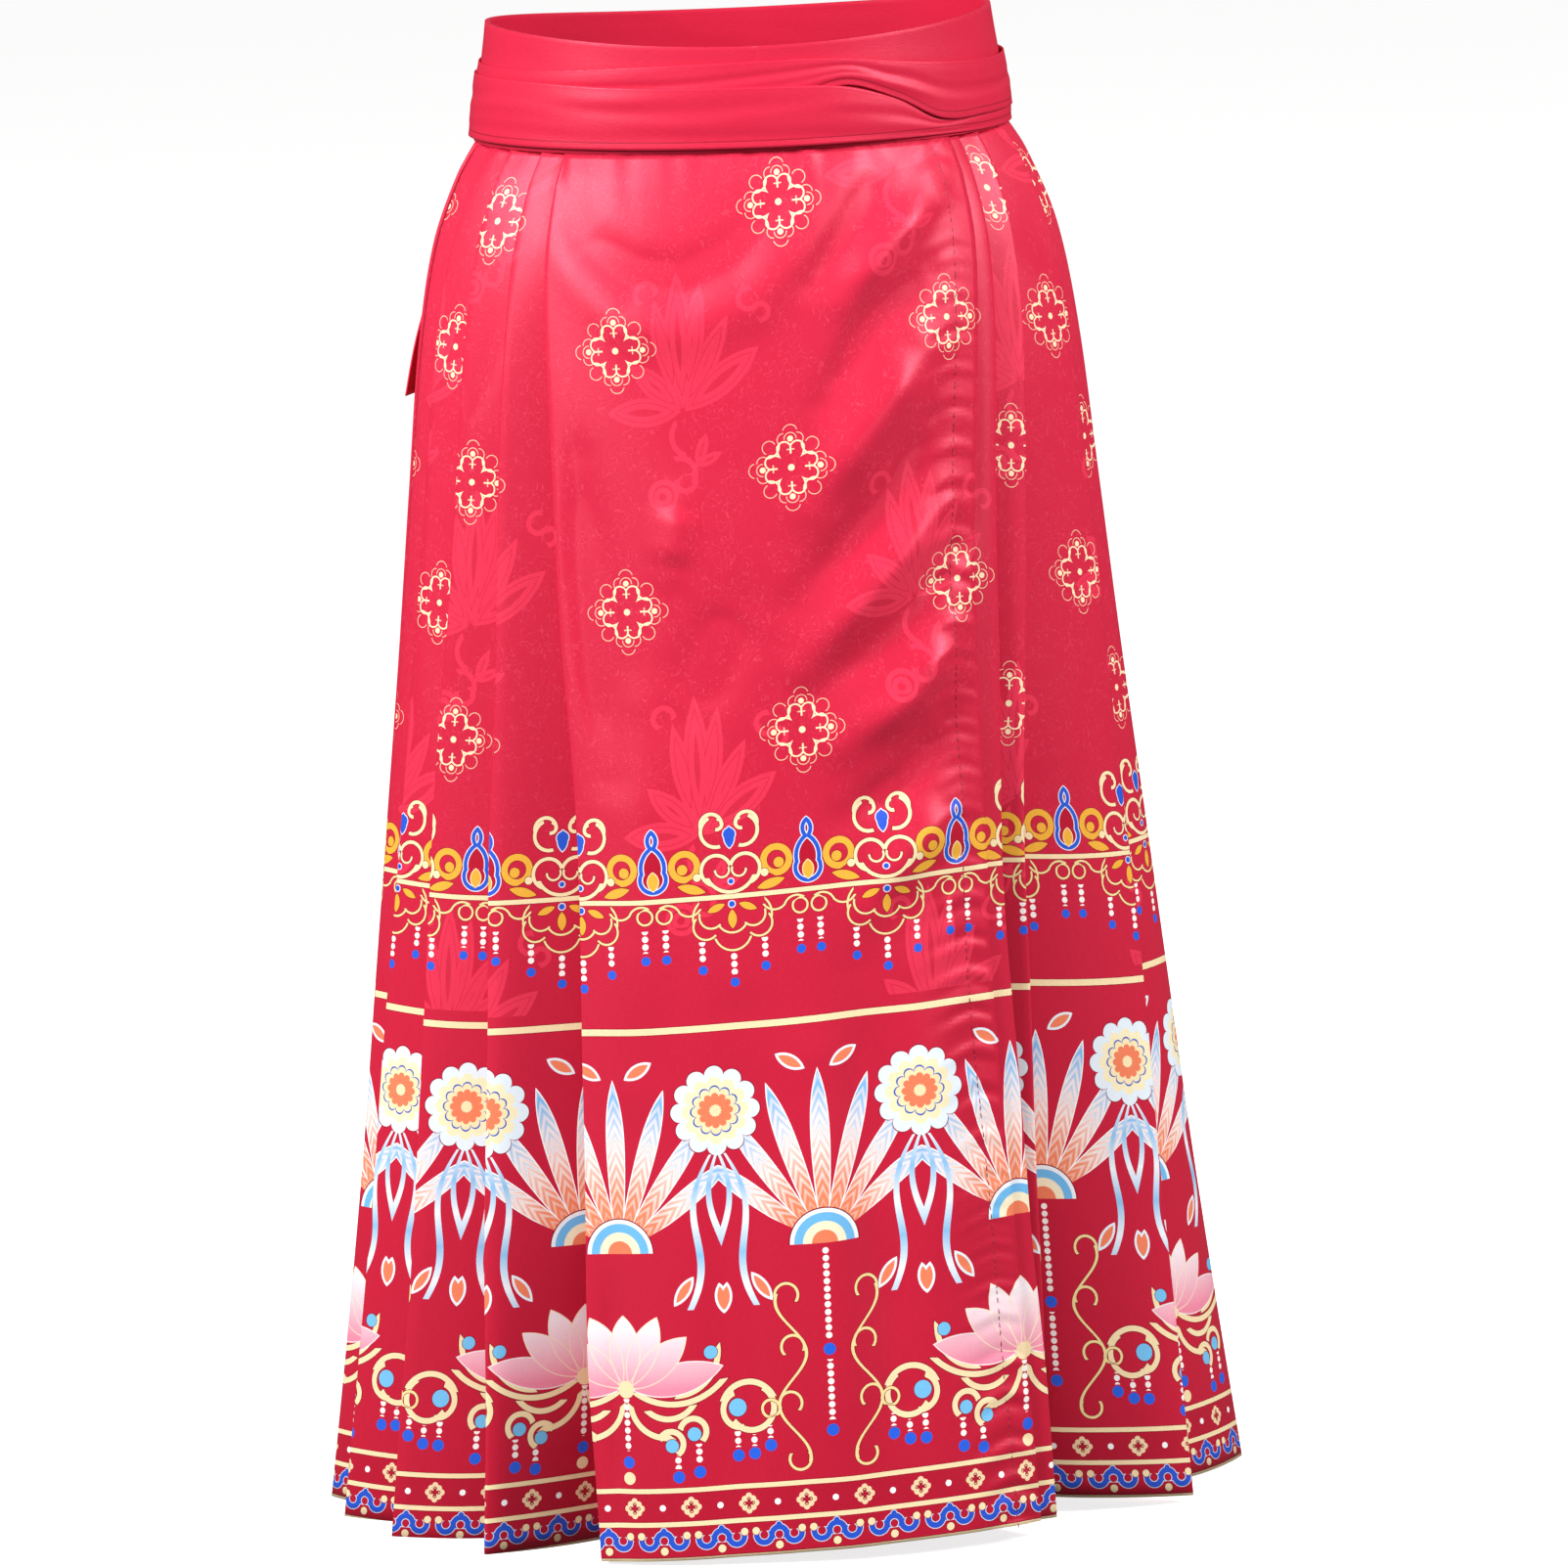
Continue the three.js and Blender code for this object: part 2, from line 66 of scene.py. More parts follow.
TAIL_CLOTH = 0.8
KNOT_CLOTH = 1.2
STITCH_INSET = 13.5
STITCH_PITCH = 4.1
STITCH_SIZE = (3.0, 0.6, 0.45)
SEAM_INSET = 3.4
FLOOR = -710.6
MM = 0.001

# Points along each panel, pleat face, bend and underlay, and the height between an outer panel's rows
PANEL_STEPS = 72
FACE_STEPS = 12
BEND_STEPS = 4
UNDERLAY_STEPS = 3
FINE_ROW = 2.1

# How much higher the creases stand than their table says
CREASE_STRENGTH = 1.75


def table(columns, *rows):
    """Rows of values with named columns."""
    return [dict(zip(columns.split(), row)) for row in rows]


# Outer form of the skirt by height
LEVELS = table(
    "z half_width fold_depth",
    (CLOTH_TOP, 131.0, 9.6), (-50, 140.5, 10.4), (-84, 153.5, 12.0), (-134, 162.5, 15.0),
    (-206, 170.0, 20.0), (-290, 178.5, 26.5), (-376, 188.0, 34.0), (-462, 197.5, 41.5), (-548, 207.0, 48.5),
    (-632, 217.5, 55.5), (HEM, 228.0, 62.0),
)

# Fold lines of each quarter in degrees from the middle of its panel, at five heights. printed is the
# place in the printed repeat, in millimetres, that lies on the fold.
FOLD_HEIGHTS = [CLOTH_TOP, -205, -370, -540, HEM]
FOLDS = {
    "front_left": [
        {"name": "free", "at": [46.6, 35.4, 31.0, 29.8, 28.6]},
        {"name": "panel", "at": [44.7, 38.4, 33.0, 31.0, 27.6], "opened": [0, 0, 0, 8, 44]},
        {"name": "first", "at": [51.5, 50.4, 49.8, 47.2, 44.6], "printed": 140},
        {"name": "second", "at": [63.0, 62.6, 64.6, 63.2, 63.0], "printed": 166},
        {"name": "third", "at": [73.0, 75.0, 77.5, 78.5, 79.0], "printed": 255},
        {"name": "fourth", "at": [83.0, 86.0, 88.5, 90.5, 92.0], "printed": 310},
    ],
    "front_right": [
        {"name": "free", "at": [31.0, 24.5, 21.0, 19.5, 18.5]},
        {"name": "panel", "at": [50.8, 40.8, 34.8, 32.9, 31.4], "opened": [0, 0, 0, 6, 22]},
        {"name": "first", "at": [58.0, 47.6, 40.0, 38.6, 38.4], "sunk": [0, 0, 4, 20, 40], "printed": 181},
        {"name": "second", "at": [73.0, 71.6, 67.4, 62.4, 57.5], "printed": 272},
        {"name": "third", "at": [83.5, 85.0, 86.0, 87.0, 88.0], "printed": 352},
        {"name": "fourth", "at": [93.0, 96.0, 99.0, 101.0, 103.0], "printed": 372},
    ],
    "back_left": [
        {"name": "free", "at": [31.0, 24.5, 21.0, 19.5, 18.5]},
        {"name": "panel", "at": [49.0, 41.5, 36.5, 34.0, 32.5]},
        {"name": "first", "at": [56.0, 51.5, 48.0, 46.0, 45.0], "printed": 172},
        {"name": "second", "at": [66.5, 63.5, 61.0, 59.0, 57.5], "printed": 236},
        {"name": "third", "at": [78.5, 75.5, 73.0, 70.5, 68.5], "printed": 300},
        {"name": "fourth", "at": [92.0, 88.5, 85.5, 82.5, 80.0], "printed": 362},
    ],
    "back_right": [
        {"name": "free", "at": [45.0, 36.0, 31.5, 30.0, 29.0]},
        {"name": "panel", "at": [43.0, 37.5, 32.5, 30.8, 29.5]},
        {"name": "first", "at": [50.5, 46.5, 43.0, 41.0, 40.0], "printed": 156},
        {"name": "second", "at": [60.0, 57.5, 54.5, 52.5, 51.0], "printed": 214},
        {"name": "third", "at": [71.0, 68.5, 66.0, 63.5, 61.5], "printed": 276},
        {"name": "fourth", "at": [82.0, 79.0, 76.0, 73.5, 71.5], "printed": 338},
    ],
}

# Edges of the ties' cloth round the waistband, and which of them lies over the other
TIE_COURSES = {
    "tie_lower": table(
        "angle foot top layer",
        (-126, -31.5, -2, 1), (-60, -31.5, 0, 1), (-25, -31.8, -2, 1), (8, -32, -3, 1), (20, -32, -5, 1),
        (32, -32.2, -13, 0.5), (44, -32.4, -25, 0), (60, -33, -21, 0), (110, -33, -18, 0),
        (180, -32, -12, 0), (230, -31, -8, 0),
    ),
    "tie_upper": table(
        "angle foot top layer",
        (-126, -16, 5, 0), (-60, -16, 5, 0), (-25, -14, 8, 0), (8, -10, 9.5, 0), (20, -4.4, 8.5, 0),
        (32, -12.4, 5.5, 0.5), (44, -24.4, 3, 1), (60, -25.5, 1, 1), (110, -25.5, 1, 1), (180, -25, 2.5, 1),
        (230, -24, 3.5, 1),
    ),
}

# The tie ends below the knot
TAILS = {
    "tie_tail_front": table(
        "z angle width out",
        (-24.3, -123, 15, 3.5), (-60, -122.5, 25, 4.0), (-100, -119.5, 28, 4.5), (-135, -114, 28, 6.5),
        (-163, -110, 28, 7.0),
    ),
    "tie_tail_back": table(
        "z angle width out",
        (-24.3, -133, 15, 3.5), (-75, -136.5, 26, 3.5), (-130, -138, 28, 3.5), (-185, -138.5, 28, 3.5),
        (-232, -139, 28, 3.5),
    ),
}

# Soft folds in the ties: angle round the waist, share of the tie's width at each end, and rise
TIE_FOLDS = {
    "tie_lower": table(
        "from to rise",
        ((-78, 0.35), (-20, 0.22), 0.5), ((-30, 0.75), (24, 0.9), -0.45), ((-10, 0.5), (30, 0.3), 0.55),
        ((60, 0.4), (130, 0.6), 0.5), ((140, 0.6), (215, 0.4), -0.5),
    ),
    "tie_upper": table(
        "from to rise",
        ((-70, 0.6), (-20, 0.4), -0.4), ((6, 0.75), (50, 0.55), 0.35), ((26, 0.35), (70, 0.55), -0.3),
        ((80, 0.5), (150, 0.35), 0.5), ((150, 0.7), (215, 0.5), 0.4),
    ),
}

KNOT_ANGLE = -128
KNOT = {"foot": -24, "top": 7, "half_angle": 9.5, "bulge": 11, "rim": 1.6}


def look_up(rows, key, column, value):
    """A table's column at a height or angle, on a smooth curve through its rows."""
    sign = 1 if rows[-1][key] > rows[0][key] else -1
    places = [sign * row[key] for row in rows]
    values = [row[column] for row in rows]
    place = min(max(sign * value, places[0]), places[-1])
    i = max(k for k in range(len(rows) - 1) if places[k] <= place)
    slopes = []
    for k in (i, i + 1):
        low, high = max(k - 1, 0), min(k + 1, len(rows) - 1)
        slopes.append((values[high] - values[low]) / (places[high] - places[low]))
    step = places[i + 1] - places[i]
    t = (place - places[i]) / step
    return (
        values[i] * (1 + 2 * t) * (1 - t) ** 2
        + values[i + 1] * t * t * (3 - 2 * t)
        + step * (slopes[0] * t * (1 - t) ** 2 - slopes[1] * t * t * (1 - t))
    )


def smooth(low, high, value):
    """0 below low, 1 above high, and an even S between them."""
    t = min(max((value - low) / (high - low), 0.0), 1.0)
    return t * t * (3 - 2 * t)


def depth_ratio(z):
    share = min(max((CLOTH_TOP - z) / (CLOTH_TOP - HEM), 0.0), 1.0)
    return WAIST_DEPTH_RATIO + (HEM_DEPTH_RATIO - WAIST_DEPTH_RATIO) * share


def skirt_ellipse(z):
    half_width = look_up(LEVELS, "z", "half_width", z)
    return half_width, half_width * depth_ratio(z)


def band_ellipse(z):
    share = (z - BAND_FOOT) / (BAND_TOP - BAND_FOOT)
    half_width = BAND_FOOT_HALF_WIDTH + (BAND_TOP_HALF_WIDTH - BAND_FOOT_HALF_WIDTH) * share
    return half_width, half_width * WAIST_DEPTH_RATIO


def round_point(ellipse, degrees, depth):
    """A point at an angle from the front and a depth inside an ellipse."""
    a, b = ellipse
    t = math.radians(degrees)
    normal = Vector((math.sin(t) / a, -math.cos(t) / b)).normalized()
    return Vector((a * math.sin(t), -b * math.cos(t))) - normal * depth


def per_degree(ellipse, degrees):
    a, b = ellipse
    t = math.radians(degrees)
    return math.radians(math.hypot(a * math.cos(t), b * math.sin(t)))


def fold_value(fold, column, z):
    if column not in fold:
        return 0.0
    rows = [{"z": height, "value": value} for height, value in zip(FOLD_HEIGHTS, fold[column])]
    return look_up(rows, "z", "value", z)


def wander(fold, z):
    """How far a fold strays sideways in degrees: it hangs free, so it is never quite straight."""
    phase = sum(map(ord, fold["name"])) * 0.7 + fold["at"][0]
    loose = smooth(CLOTH_TOP, -200, z) * (1 - 0.6 * smooth(-600, HEM, z))
    return loose * (0.28 * math.sin(z / 61 + phase) + 0.18 * math.sin(z / 29 + 2.3 * phase))


def quarter_path(quarter, z):
    """One quarter at one height: points with their place in the print, their face and share along it."""
    is_under = quarter in ("front_right", "back_left")
    ellipse = skirt_ellipse(z)
    fold_depth = look_up(LEVELS, "z", "fold_depth", z)
    share_limit = min(LARGEST_UNDERLAY_SHARE, 0.95 * (1 - 4 * FOLD_RADIUS / fold_depth))
    folds = {fold["name"]: fold for fold in FOLDS[quarter]}
    order = ["panel", "first", "second", "third", "fourth"]
    angles = {name: fold_value(folds[name], "at", z) + wander(folds[name], z) for name in folds}
    start = (-angles["free"], UNDER_PANEL_DEPTH if is_under else 0.0)
    points = []
    panel_end = 0
    for k, name in enumerate(order):
        depth = fold_value(folds[name], "sunk", z)
        if k == 0 and is_under:
            depth = UNDER_FOLD_DEPTH
        end = (angles[name], depth)
        steps = PANEL_STEPS if k == 0 else FACE_STEPS

        def along(share):
            angle = start[0] + (end[0] - start[0]) * share
            rise = smooth(0.9, 1.0, share) if k == 0 else share
            belly = 0.0 if k == 0 else 0.035 * fold_depth * math.sin(math.pi * share)
            return round_point(ellipse, angle, start[1] + (end[1] - start[1]) * rise - belly)

        face = [along(i / steps) for i in range(steps)]
        fold = along(1)
        forward = (fold - along(0.97)).normalized()
        inward = Vector((-forward.y, forward.x))
        centre = fold - forward * FOLD_RADIUS + inward * FOLD_RADIUS
        face.append(fold - forward * FOLD_RADIUS)
        lengths = [0.0]
        for before, after in zip(face, face[1:]):
            lengths.append(lengths[-1] + (after - before).length)
        if k == 0:
            share = -start[0] / (end[0] - start[0]) * steps
            low = int(share)
            middle = lengths[low] + (lengths[low + 1] - lengths[low]) * (share - low)
            printed_end = lengths[-1] - middle
        else:
            printed_end = folds[name]["printed"]
        for i, (point, length) in enumerate(zip(face, lengths)):
            points.append((point, printed_end - lengths[-1] + length, name, i / steps))
        for i in range(1, BEND_STEPS + 1):
            turn = math.pi * i / BEND_STEPS
            bend = centre + (forward * math.sin(turn) - inward * math.cos(turn)) * FOLD_RADIUS
            points.append((bend, printed_end + FOLD_RADIUS * turn, "underlay", 0.0))

        scale = per_degree(ellipse, end[0])
        width = (end[0] - start[0]) * scale
        following = order[k + 1] if k < 4 else None
        next_angle = angles[following] if following else None
        next_width = (next_angle - end[0]) * scale if following else LARGEST_UNDERLAY
        beside_next = next_width * (fold_depth / (end[1] + 2 * FOLD_RADIUS + LAYER_PITCH) - 1)
        behind_face = LARGEST_UNDERLAY if k == 0 else share_limit * width
        underlay = min(LARGEST_UNDERLAY, behind_face, beside_next)
        underlay -= fold_value(folds[name], "opened", z)
        back = (end[0] - underlay / scale, fold_depth)
        next_depth = fold_value(folds[following], "sunk", z) if following else fold_depth
        if not following:
            next_angle = back[0] + 1
        corner = round_point(ellipse, *back)
        ahead = round_point(
            ellipse, back[0] + (next_angle - back[0]) * 0.03, back[1] + (next_depth - back[1]) * 0.03
        )
        onward = (ahead - corner).normalized()
        next_inward = Vector((-onward.y, onward.x))
        turn_centre = corner - next_inward * FOLD_RADIUS
        tuck = points[-1][0]
        tuck_end = corner - next_inward * 2 * FOLD_RADIUS
        if k == 0:
            panel_end = len(points)
        printed_tuck = printed_end + FOLD_RADIUS * math.pi
        for i in range(1, UNDERLAY_STEPS + 1):
            share = i / UNDERLAY_STEPS
            points.append((tuck.lerp(tuck_end, share), printed_tuck + share * 20, "underlay", 0.0))
        for i in range(1, BEND_STEPS):
            turn = math.pi * i / BEND_STEPS
            bend = turn_centre - (next_inward * math.cos(turn) + onward * math.sin(turn)) * FOLD_RADIUS
            points.append((bend, printed_tuck + 21 + i, "underlay", 0.0))
        start = back
    points.append((round_point(ellipse, *start), printed_tuck + 26, "underlay", 0.0))
    return points, panel_end


# Quarter paths are drawn as if on the front right. Each sign says how the print runs on them, seen
# from outside.
PLACE = {
    "front_left": ((-1, 1), -1),
    "front_right": ((1, 1), 1),
    "back_left": ((-1, -1), 1),
    "back_right": ((1, -1), -1),
}


def placed(quarter, points):
    (sx, sy), sign = PLACE[quarter]
    return [(Vector((p.x * sx, p.y * sy)), printed * sign, face, share) for p, printed, face, share in points]


def half_paths(side, z):
    """Front panel, front pleats, back pleats and back panel of one half at one height."""
    front, back = "front_" + side, "back_" + side
    front_points, front_end = quarter_path(front, z)
    back_points, back_end = quarter_path(back, z)
    ellipse = skirt_ellipse(z)
    fold_depth = look_up(LEVELS, "z", "fold_depth", z)
    last_front = fold_value(FOLDS[front][-1], "at", z)
    last_back = 180 - fold_value(FOLDS[back][-1], "at", z)
    middle = (last_front + last_back) / 2
    printed = front_points[-1][1]
    box = [
        (round_point(ellipse, middle - SIDE_CLEARANCE, fold_depth), printed + 8, "underlay", 0.0),
        (round_point(ellipse, middle, fold_depth), printed + 12, "underlay", 0.0),
    ]
    box = placed(front, box)
    front_points = placed(front, front_points)
    back_points = placed(back, back_points)
    return {
        "front_panel": front_points[: front_end + 2],
        "front_pleats": front_points[front_end + 1:] + box,
        "back_pleats": box[1:] + list(reversed(back_points[back_end + 1:])),
        "back_panel": back_points[: back_end + 2],
    }


# The main creases: the points of each soft line, in millimetres along the cloth from
# the middle of its panel and in height, its width and its rise, which is negative in a trough.
CREASES = {
    ("left", "front"): table(
        "line width rise",
        ([(-98, -56), (-88, -76), (-64, -90), (-40, -93), (-16, -82), (4, -62), (16, -46)], 12, -1.9),
        ([(-96, -88), (-70, -112), (-40, -118), (-8, -104), (16, -78), (30, -52)], 13, 1.7),
        ([(60, -47), (42, -73), (22, -97)], 7, -2.6),
        ([(88, -58), (60, -80), (37, -106)], 9, 3.6),
        ([(82, -94), (50, -118), (25, -155)], 7, -2.4),
        ([(77, -132), (50, -164), (17, -203)], 13, 4.0),
        ([(80, -168), (54, -204), (7, -250)], 9, -2.4),
        ([(86, -206), (50, -240), (8, -280)], 9, 2.6),
        ([(90, -232), (60, -261), (16, -295)], 8, -2.2),
        ([(86, -268), (63, -296), (28, -318)], 11, 4.2),
        ([(81, -312), (58, -338), (28, -354)], 9, -2.0),
        ([(82, -352), (60, -370), (38, -396)], 12, 3.2),
        ([(-46, -200), (-52, -232)], 9, 2.0),
        ([(-20, -250), (-46, -300)], 14, -2.0),
        ([(-100, -180), (-86, -330)], 12, -1.6),
        ([(-70, -300), (-80, -480)], 16, 1.8),
        ([(-104, -560), (-100, -706)], 9, -1.8),
        ([(58, -430), (82, -600)], 16, 2.2),
        ([(30, -430), (44, -640)], 14, -1.8),
        ([(6, -470), (16, -706)], 16, 2.4),
        ([(-30, -450), (-40, -706)], 15, -2.0),
    ),
    ("right", "back"): table(
        "line width rise",
        ([(-84, -50), (-60, -92), (-28, -112)], 11, -2.2),
        ([(-92, -90), (-60, -126), (-16, -138)], 12, 3.2),
        ([(78, -48), (56, -84), (24, -104)], 10, -2.4),
        ([(88, -80), (62, -116), (20, -142)], 11, 3.4),
        ([(92, -130), (66, -186), (40, -220)], 12, -2.0),
        ([(-92, -150), (-80, -230), (-60, -300)], 13, 2.6),
        ([(-40, -330), (-56, -560)], 18, 2.2),
        ([(46, -300), (58, -420), (64, -600)], 18, -2.0),
        ([(0, -500), (12, -706)], 18, 2.2),
    ),
    ("right", "front"): table(
        "line width rise",
        ([(104, -60), (98, -240)], 7, -0.6),
    ),
    ("left", "back"): table(
        "line width rise",
        ([(-60, -60), (-20, -160)], 12, 0.8),
    ),
}


def crease_rise(creases, along, z):
    """Outward rise of the cloth from the listed creases, each a soft ridge or trough that fades out."""
    total = 0.0
    for crease in creases:
        line = crease["line"]
        nearest, reached = math.inf, 0.0
        for k, ((x0, z0), (x1, z1)) in enumerate(zip(line, line[1:])):
            dx, dz = x1 - x0, z1 - z0
            t = min(max(((along - x0) * dx + (z - z0) * dz) / (dx * dx + dz * dz), 0.0), 1.0)
            gap = math.hypot(along - x0 - dx * t, z - z0 - dz * t)
            if gap < nearest:
                nearest, reached = gap, (k + t) / (len(line) - 1)
        fade = 0.35 + 0.65 * smooth(0, 0.3, reached) * (1 - smooth(0.65, 1, reached))
        total += crease["rise"] * fade * math.exp(-(nearest / crease["width"]) ** 2)
    return total


def gathers(along, z):
    """Small uneven ripples where the cloth is eased into the waistband."""
    ripple = math.sin(along / 3.1) + 0.7 * math.sin(along / 1.9 + 1.3) + 0.8 * math.sin(along / 5.3 + 4)
    patch = 0.4 + 0.6 * max(0.0, math.sin(along / 21 + 0.6))
    return 0.75 * ripple * patch * math.exp(-(CLOTH_TOP - z) / 13)


def sway(side, where, printed, z):
    """Slow unevenness of hanging cloth."""
    phase = 1.7 if side == "left" else 4.1
    phase += 2.2 if where == "back" else 0.0
    hanging = smooth(CLOTH_TOP, -260, z)
    broad = 0.9 * math.sin(printed / 37 + phase + z / 210) * math.sin(z / 118 + 2 * phase)
    lower = 1.3 * smooth(-470, HEM, z) * math.sin(printed / 27 + 3 * phase)
    return hanging * broad + lower


def pleat_crease(side, where, face, share, z):
    """Each pleat face hangs a little hollow or full in its own way."""
    phase = sum(map(ord, side + where + face)) * 0.37
    body = math.sin(math.pi * share)
    slow = math.sin(z / 74 + phase) + 0.6 * math.sin(z / 41 + 1.9 * phase)
    drag = math.exp(-((share - 0.45 - 0.2 * math.sin(phase)) / 0.2) ** 2)
    return body * (0.8 * slow) + 1.2 * drag * math.sin(z / 150 + phase) * smooth(CLOTH_TOP, -300, z)


def hem_lift(point):
    """The outer panel is hung a little askew, so its rows of print and its hem rise to the right."""
    degrees = math.degrees(math.atan2(point.x, -point.y))
    if abs(degrees) > 100:
        return 0.0
    rise = 9.4 * smooth(-50, 38, degrees) * (1 - smooth(38, 76, degrees))
    return rise - 3.5 * math.exp(-((degrees + 62) / 16) ** 2)


def puckers(along, z, stitch_line):
    """Short tugs across the machine stitching, which holds the cloth a little short."""
    apart = abs(along - stitch_line)
    reach = math.exp(-(apart / 14) ** 2) * (0.25 + 0.75 * smooth(0, 2.5, apart))
    drift = z + 0.35 * apart + 2.5 * math.sin(z / 23)
    tug = math.sin(drift / 2.1) * (0.65 + 0.35 * math.sin(z / 37 + 1))
    return reach * (0.62 * tug + 0.22 * math.sin(drift / 1.25 + 2))


def row_heights():
    """Heights from the top of the cloth to the hem, closer together near the waist."""
    heights = [CLOTH_TOP]
    while heights[-1] > HEM + 6.5:
        below = CLOTH_TOP - heights[-1]
        heights.append(heights[-1] - (2.5 + 5.0 * smooth(0, 160, below)))
    heights[-1] = HEM
    return heights


ROWS = row_heights()
OUTER_PANELS = [("left", "front_panel"), ("right", "back_panel")]
HALVES = {side: [half_paths(side, z) for z in ROWS] for side in ("left", "right")}


def path_rows(side, part):
    """A piece's paths by height. The outer panels get rows between them, fine enough for puckers."""
    rows = [(z, paths[part]) for z, paths in zip(ROWS, HALVES[side])]
    if (side, part) not in OUTER_PANELS:
        return rows
    fine = rows[:1]
    for (z0, upper), (z1, lower) in zip(rows, rows[1:]):
        count = max(1, round((z0 - z1) / FINE_ROW))
        for k in range(1, count + 1):
            t = k / count
            path = [
                (a[0].lerp(b[0], t), a[1] + (b[1] - a[1]) * t, a[2], a[3]) for a, b in zip(upper, lower)
            ]
            fine.append((z0 + (z1 - z0) * t, path))
    return fine


def cloth_grid(side, part):
    """Points of one cloth piece, row by row, with the creases in, and their places in the print."""
    where = part.split("_")[0]
    outer = (side, where + "_panel") in OUTER_PANELS
    creases = CREASES[side, where]
    grid = []
    for z, path in path_rows(side, part):
        edge = path[0][1]
        line = math.copysign(abs(edge) - STITCH_INSET, edge)
        row = []
        for i, (point, printed, face, share) in enumerate(path):
            before = path[max(i - 1, 0)][0]
            after = path[min(i + 1, len(path) - 1)][0]
            tangent = (after - before).normalized()
            normal = Vector((tangent.y, -tangent.x))
            if normal.dot(point) < 0:
                normal = -normal
            rise = 0.0
            if face == "panel":
                keep = 1 - smooth(0.93, 1.0, share)
                looseness = 1.0 if outer else 0.35
                rise = CREASE_STRENGTH * crease_rise(creases, printed, z)
                rise += looseness * sway(side, where, printed, z)
                rise = max(rise * keep, -2.2 if outer else -0.6) + gathers(printed, z)
                if outer:
                    rise += puckers(printed, z, line)
            elif face != "underlay":
                rise = pleat_crease(side, where, face, share, z) * smooth(0.0, 0.3, share)
                rise *= 1 - smooth(0.9, 1.0, share)
                rise += 0.5 * gathers(printed, z)
            lift = hem_lift(point)
            height = z + lift * smooth(-480, HEM, z)
            row.append((point + normal * rise, printed, height, height - HEM - lift))
        grid.append(row)
    return grid


def grid_piece(name, rows, uvs, material, wall=SATIN, closed=False):
    """A sheet from a grid of points, given a wall by Solidify. closed joins its first and last column."""
    bm = bmesh.new()
    count = (len(rows[0]) - 1, len(rows) - 1)
    bmesh.ops.create_grid(bm, x_segments=count[0], y_segments=count[1], size=1)
    layer = bm.loops.layers.uv.new("print")
    places = {}
    for vert in bm.verts:
        column = round((vert.co.x + 1) / 2 * count[0])
        row = round((1 - vert.co.y) / 2 * count[1])
        places[vert] = (row, column)
        x, y, z = rows[row][column]
        vert.co = (x * MM, y * MM, z * MM)
    for face in bm.faces:
        for loop in face.loops:
            row, column = places[loop.vert]
            loop[layer].uv = uvs[row][column]
    if closed:
        bmesh.ops.remove_doubles(bm, verts=bm.verts, dist=1e-6)
    mesh = bpy.data.meshes.new(name)
    bm.to_mesh(mesh)
    bm.free()
    for polygon in mesh.polygons:
        polygon.use_smooth = True
    mesh.materials.append(material)
    piece = bpy.data.objects.new(name, mesh)
    bpy.context.scene.collection.objects.link(piece)
    solid = piece.modifiers.new("wall", "SOLIDIFY")
    solid.thickness = wall * MM
    solid.offset = 0
    solid.use_even_offset = False
    solid.use_rim = True
    return piece


def dress(piece, node):
    """Attach a cloth piece to the root body, and hide the CAD part it stands for."""
    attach(piece, "root")
    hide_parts(node)


def hex_colour(text):
    """An sRGB hex value as linear red, green, blue and alpha."""
    channels = [int(text[i:i + 2], 16) / 255 for i in (1, 3, 5)]
    return tuple(c / 12.92 if c <= 0.04045 else ((c + 0.055) / 1.055) ** 2.4 for c in channels) + (1.0,)


def add_node(tree, kind, *inputs, **settings):
    """Add a shader node, set it up, link or fill its inputs in order, and give its first output.

    A kind in capitals is a Math operation, and fields past its own sockets go into more of them.
    """
    family, operation = ("Math", kind) if kind.isupper() else kind.partition(".")[::2]
    node = tree.nodes.new("ShaderNode" + family)
    if operation:
        node.operation = operation
    for name, value in settings.items():
        setattr(node, name, value)
    sockets = [socket for socket in node.inputs if socket.enabled]
    for socket, value in zip(sockets, inputs):
        if isinstance(value, bpy.types.NodeSocket):
            tree.links.new(value, socket)
        elif value is not None:
            socket.default_value = hex_colour(value) if isinstance(value, str) else value
    output = next(socket for socket in node.outputs if socket.enabled)
    rest = inputs[len(sockets):]
    return add_node(tree, kind, output, *rest, **settings) if rest else output


def new_material(name):
    """A material of nodes, and the function that puts nodes in it."""
    material = bpy.data.materials.new(name)
    material.use_nodes = True
    return material, partial(add_node, material.node_tree)


def set_shader(material, values):
    """Link or set the inputs of a material's shader by their names."""
    tree = material.node_tree
    shader = tree.nodes["Principled BSDF"]
    for name, value in values.items():
        if isinstance(value, bpy.types.NodeSocket):
            tree.links.new(value, shader.inputs[name])
        else:
            shader.inputs[name].default_value = hex_colour(value) if isinstance(value, str) else value
    return material


def least(put, fields):
    """The least of several distances."""
    return reduce(partial(put, "MINIMUM"), fields)


def arc(put, point, x, y, radius, facing=None, spread=90):
    """Distance in mm to a circle's line, or to the part of it that spreads to each side of a direction."""
    apart = put("VectorMath.DISTANCE", point, (x, y, 0))
    gap = put("ABSOLUTE", put("SUBTRACT", apart, radius))
    if facing is None:
        return gap
    turn = math.radians(facing)
    limit = x * math.cos(turn) + y * math.sin(turn) + radius * math.cos(math.radians(spread))
    along = put("VectorMath.DOT_PRODUCT", point, (math.cos(turn), math.sin(turn), 0))
    return put("MAXIMUM", gap, put("SUBTRACT", limit, along))


def arcs(put, point, rows):
    return least(put, [arc(put, point, *row) for row in rows])


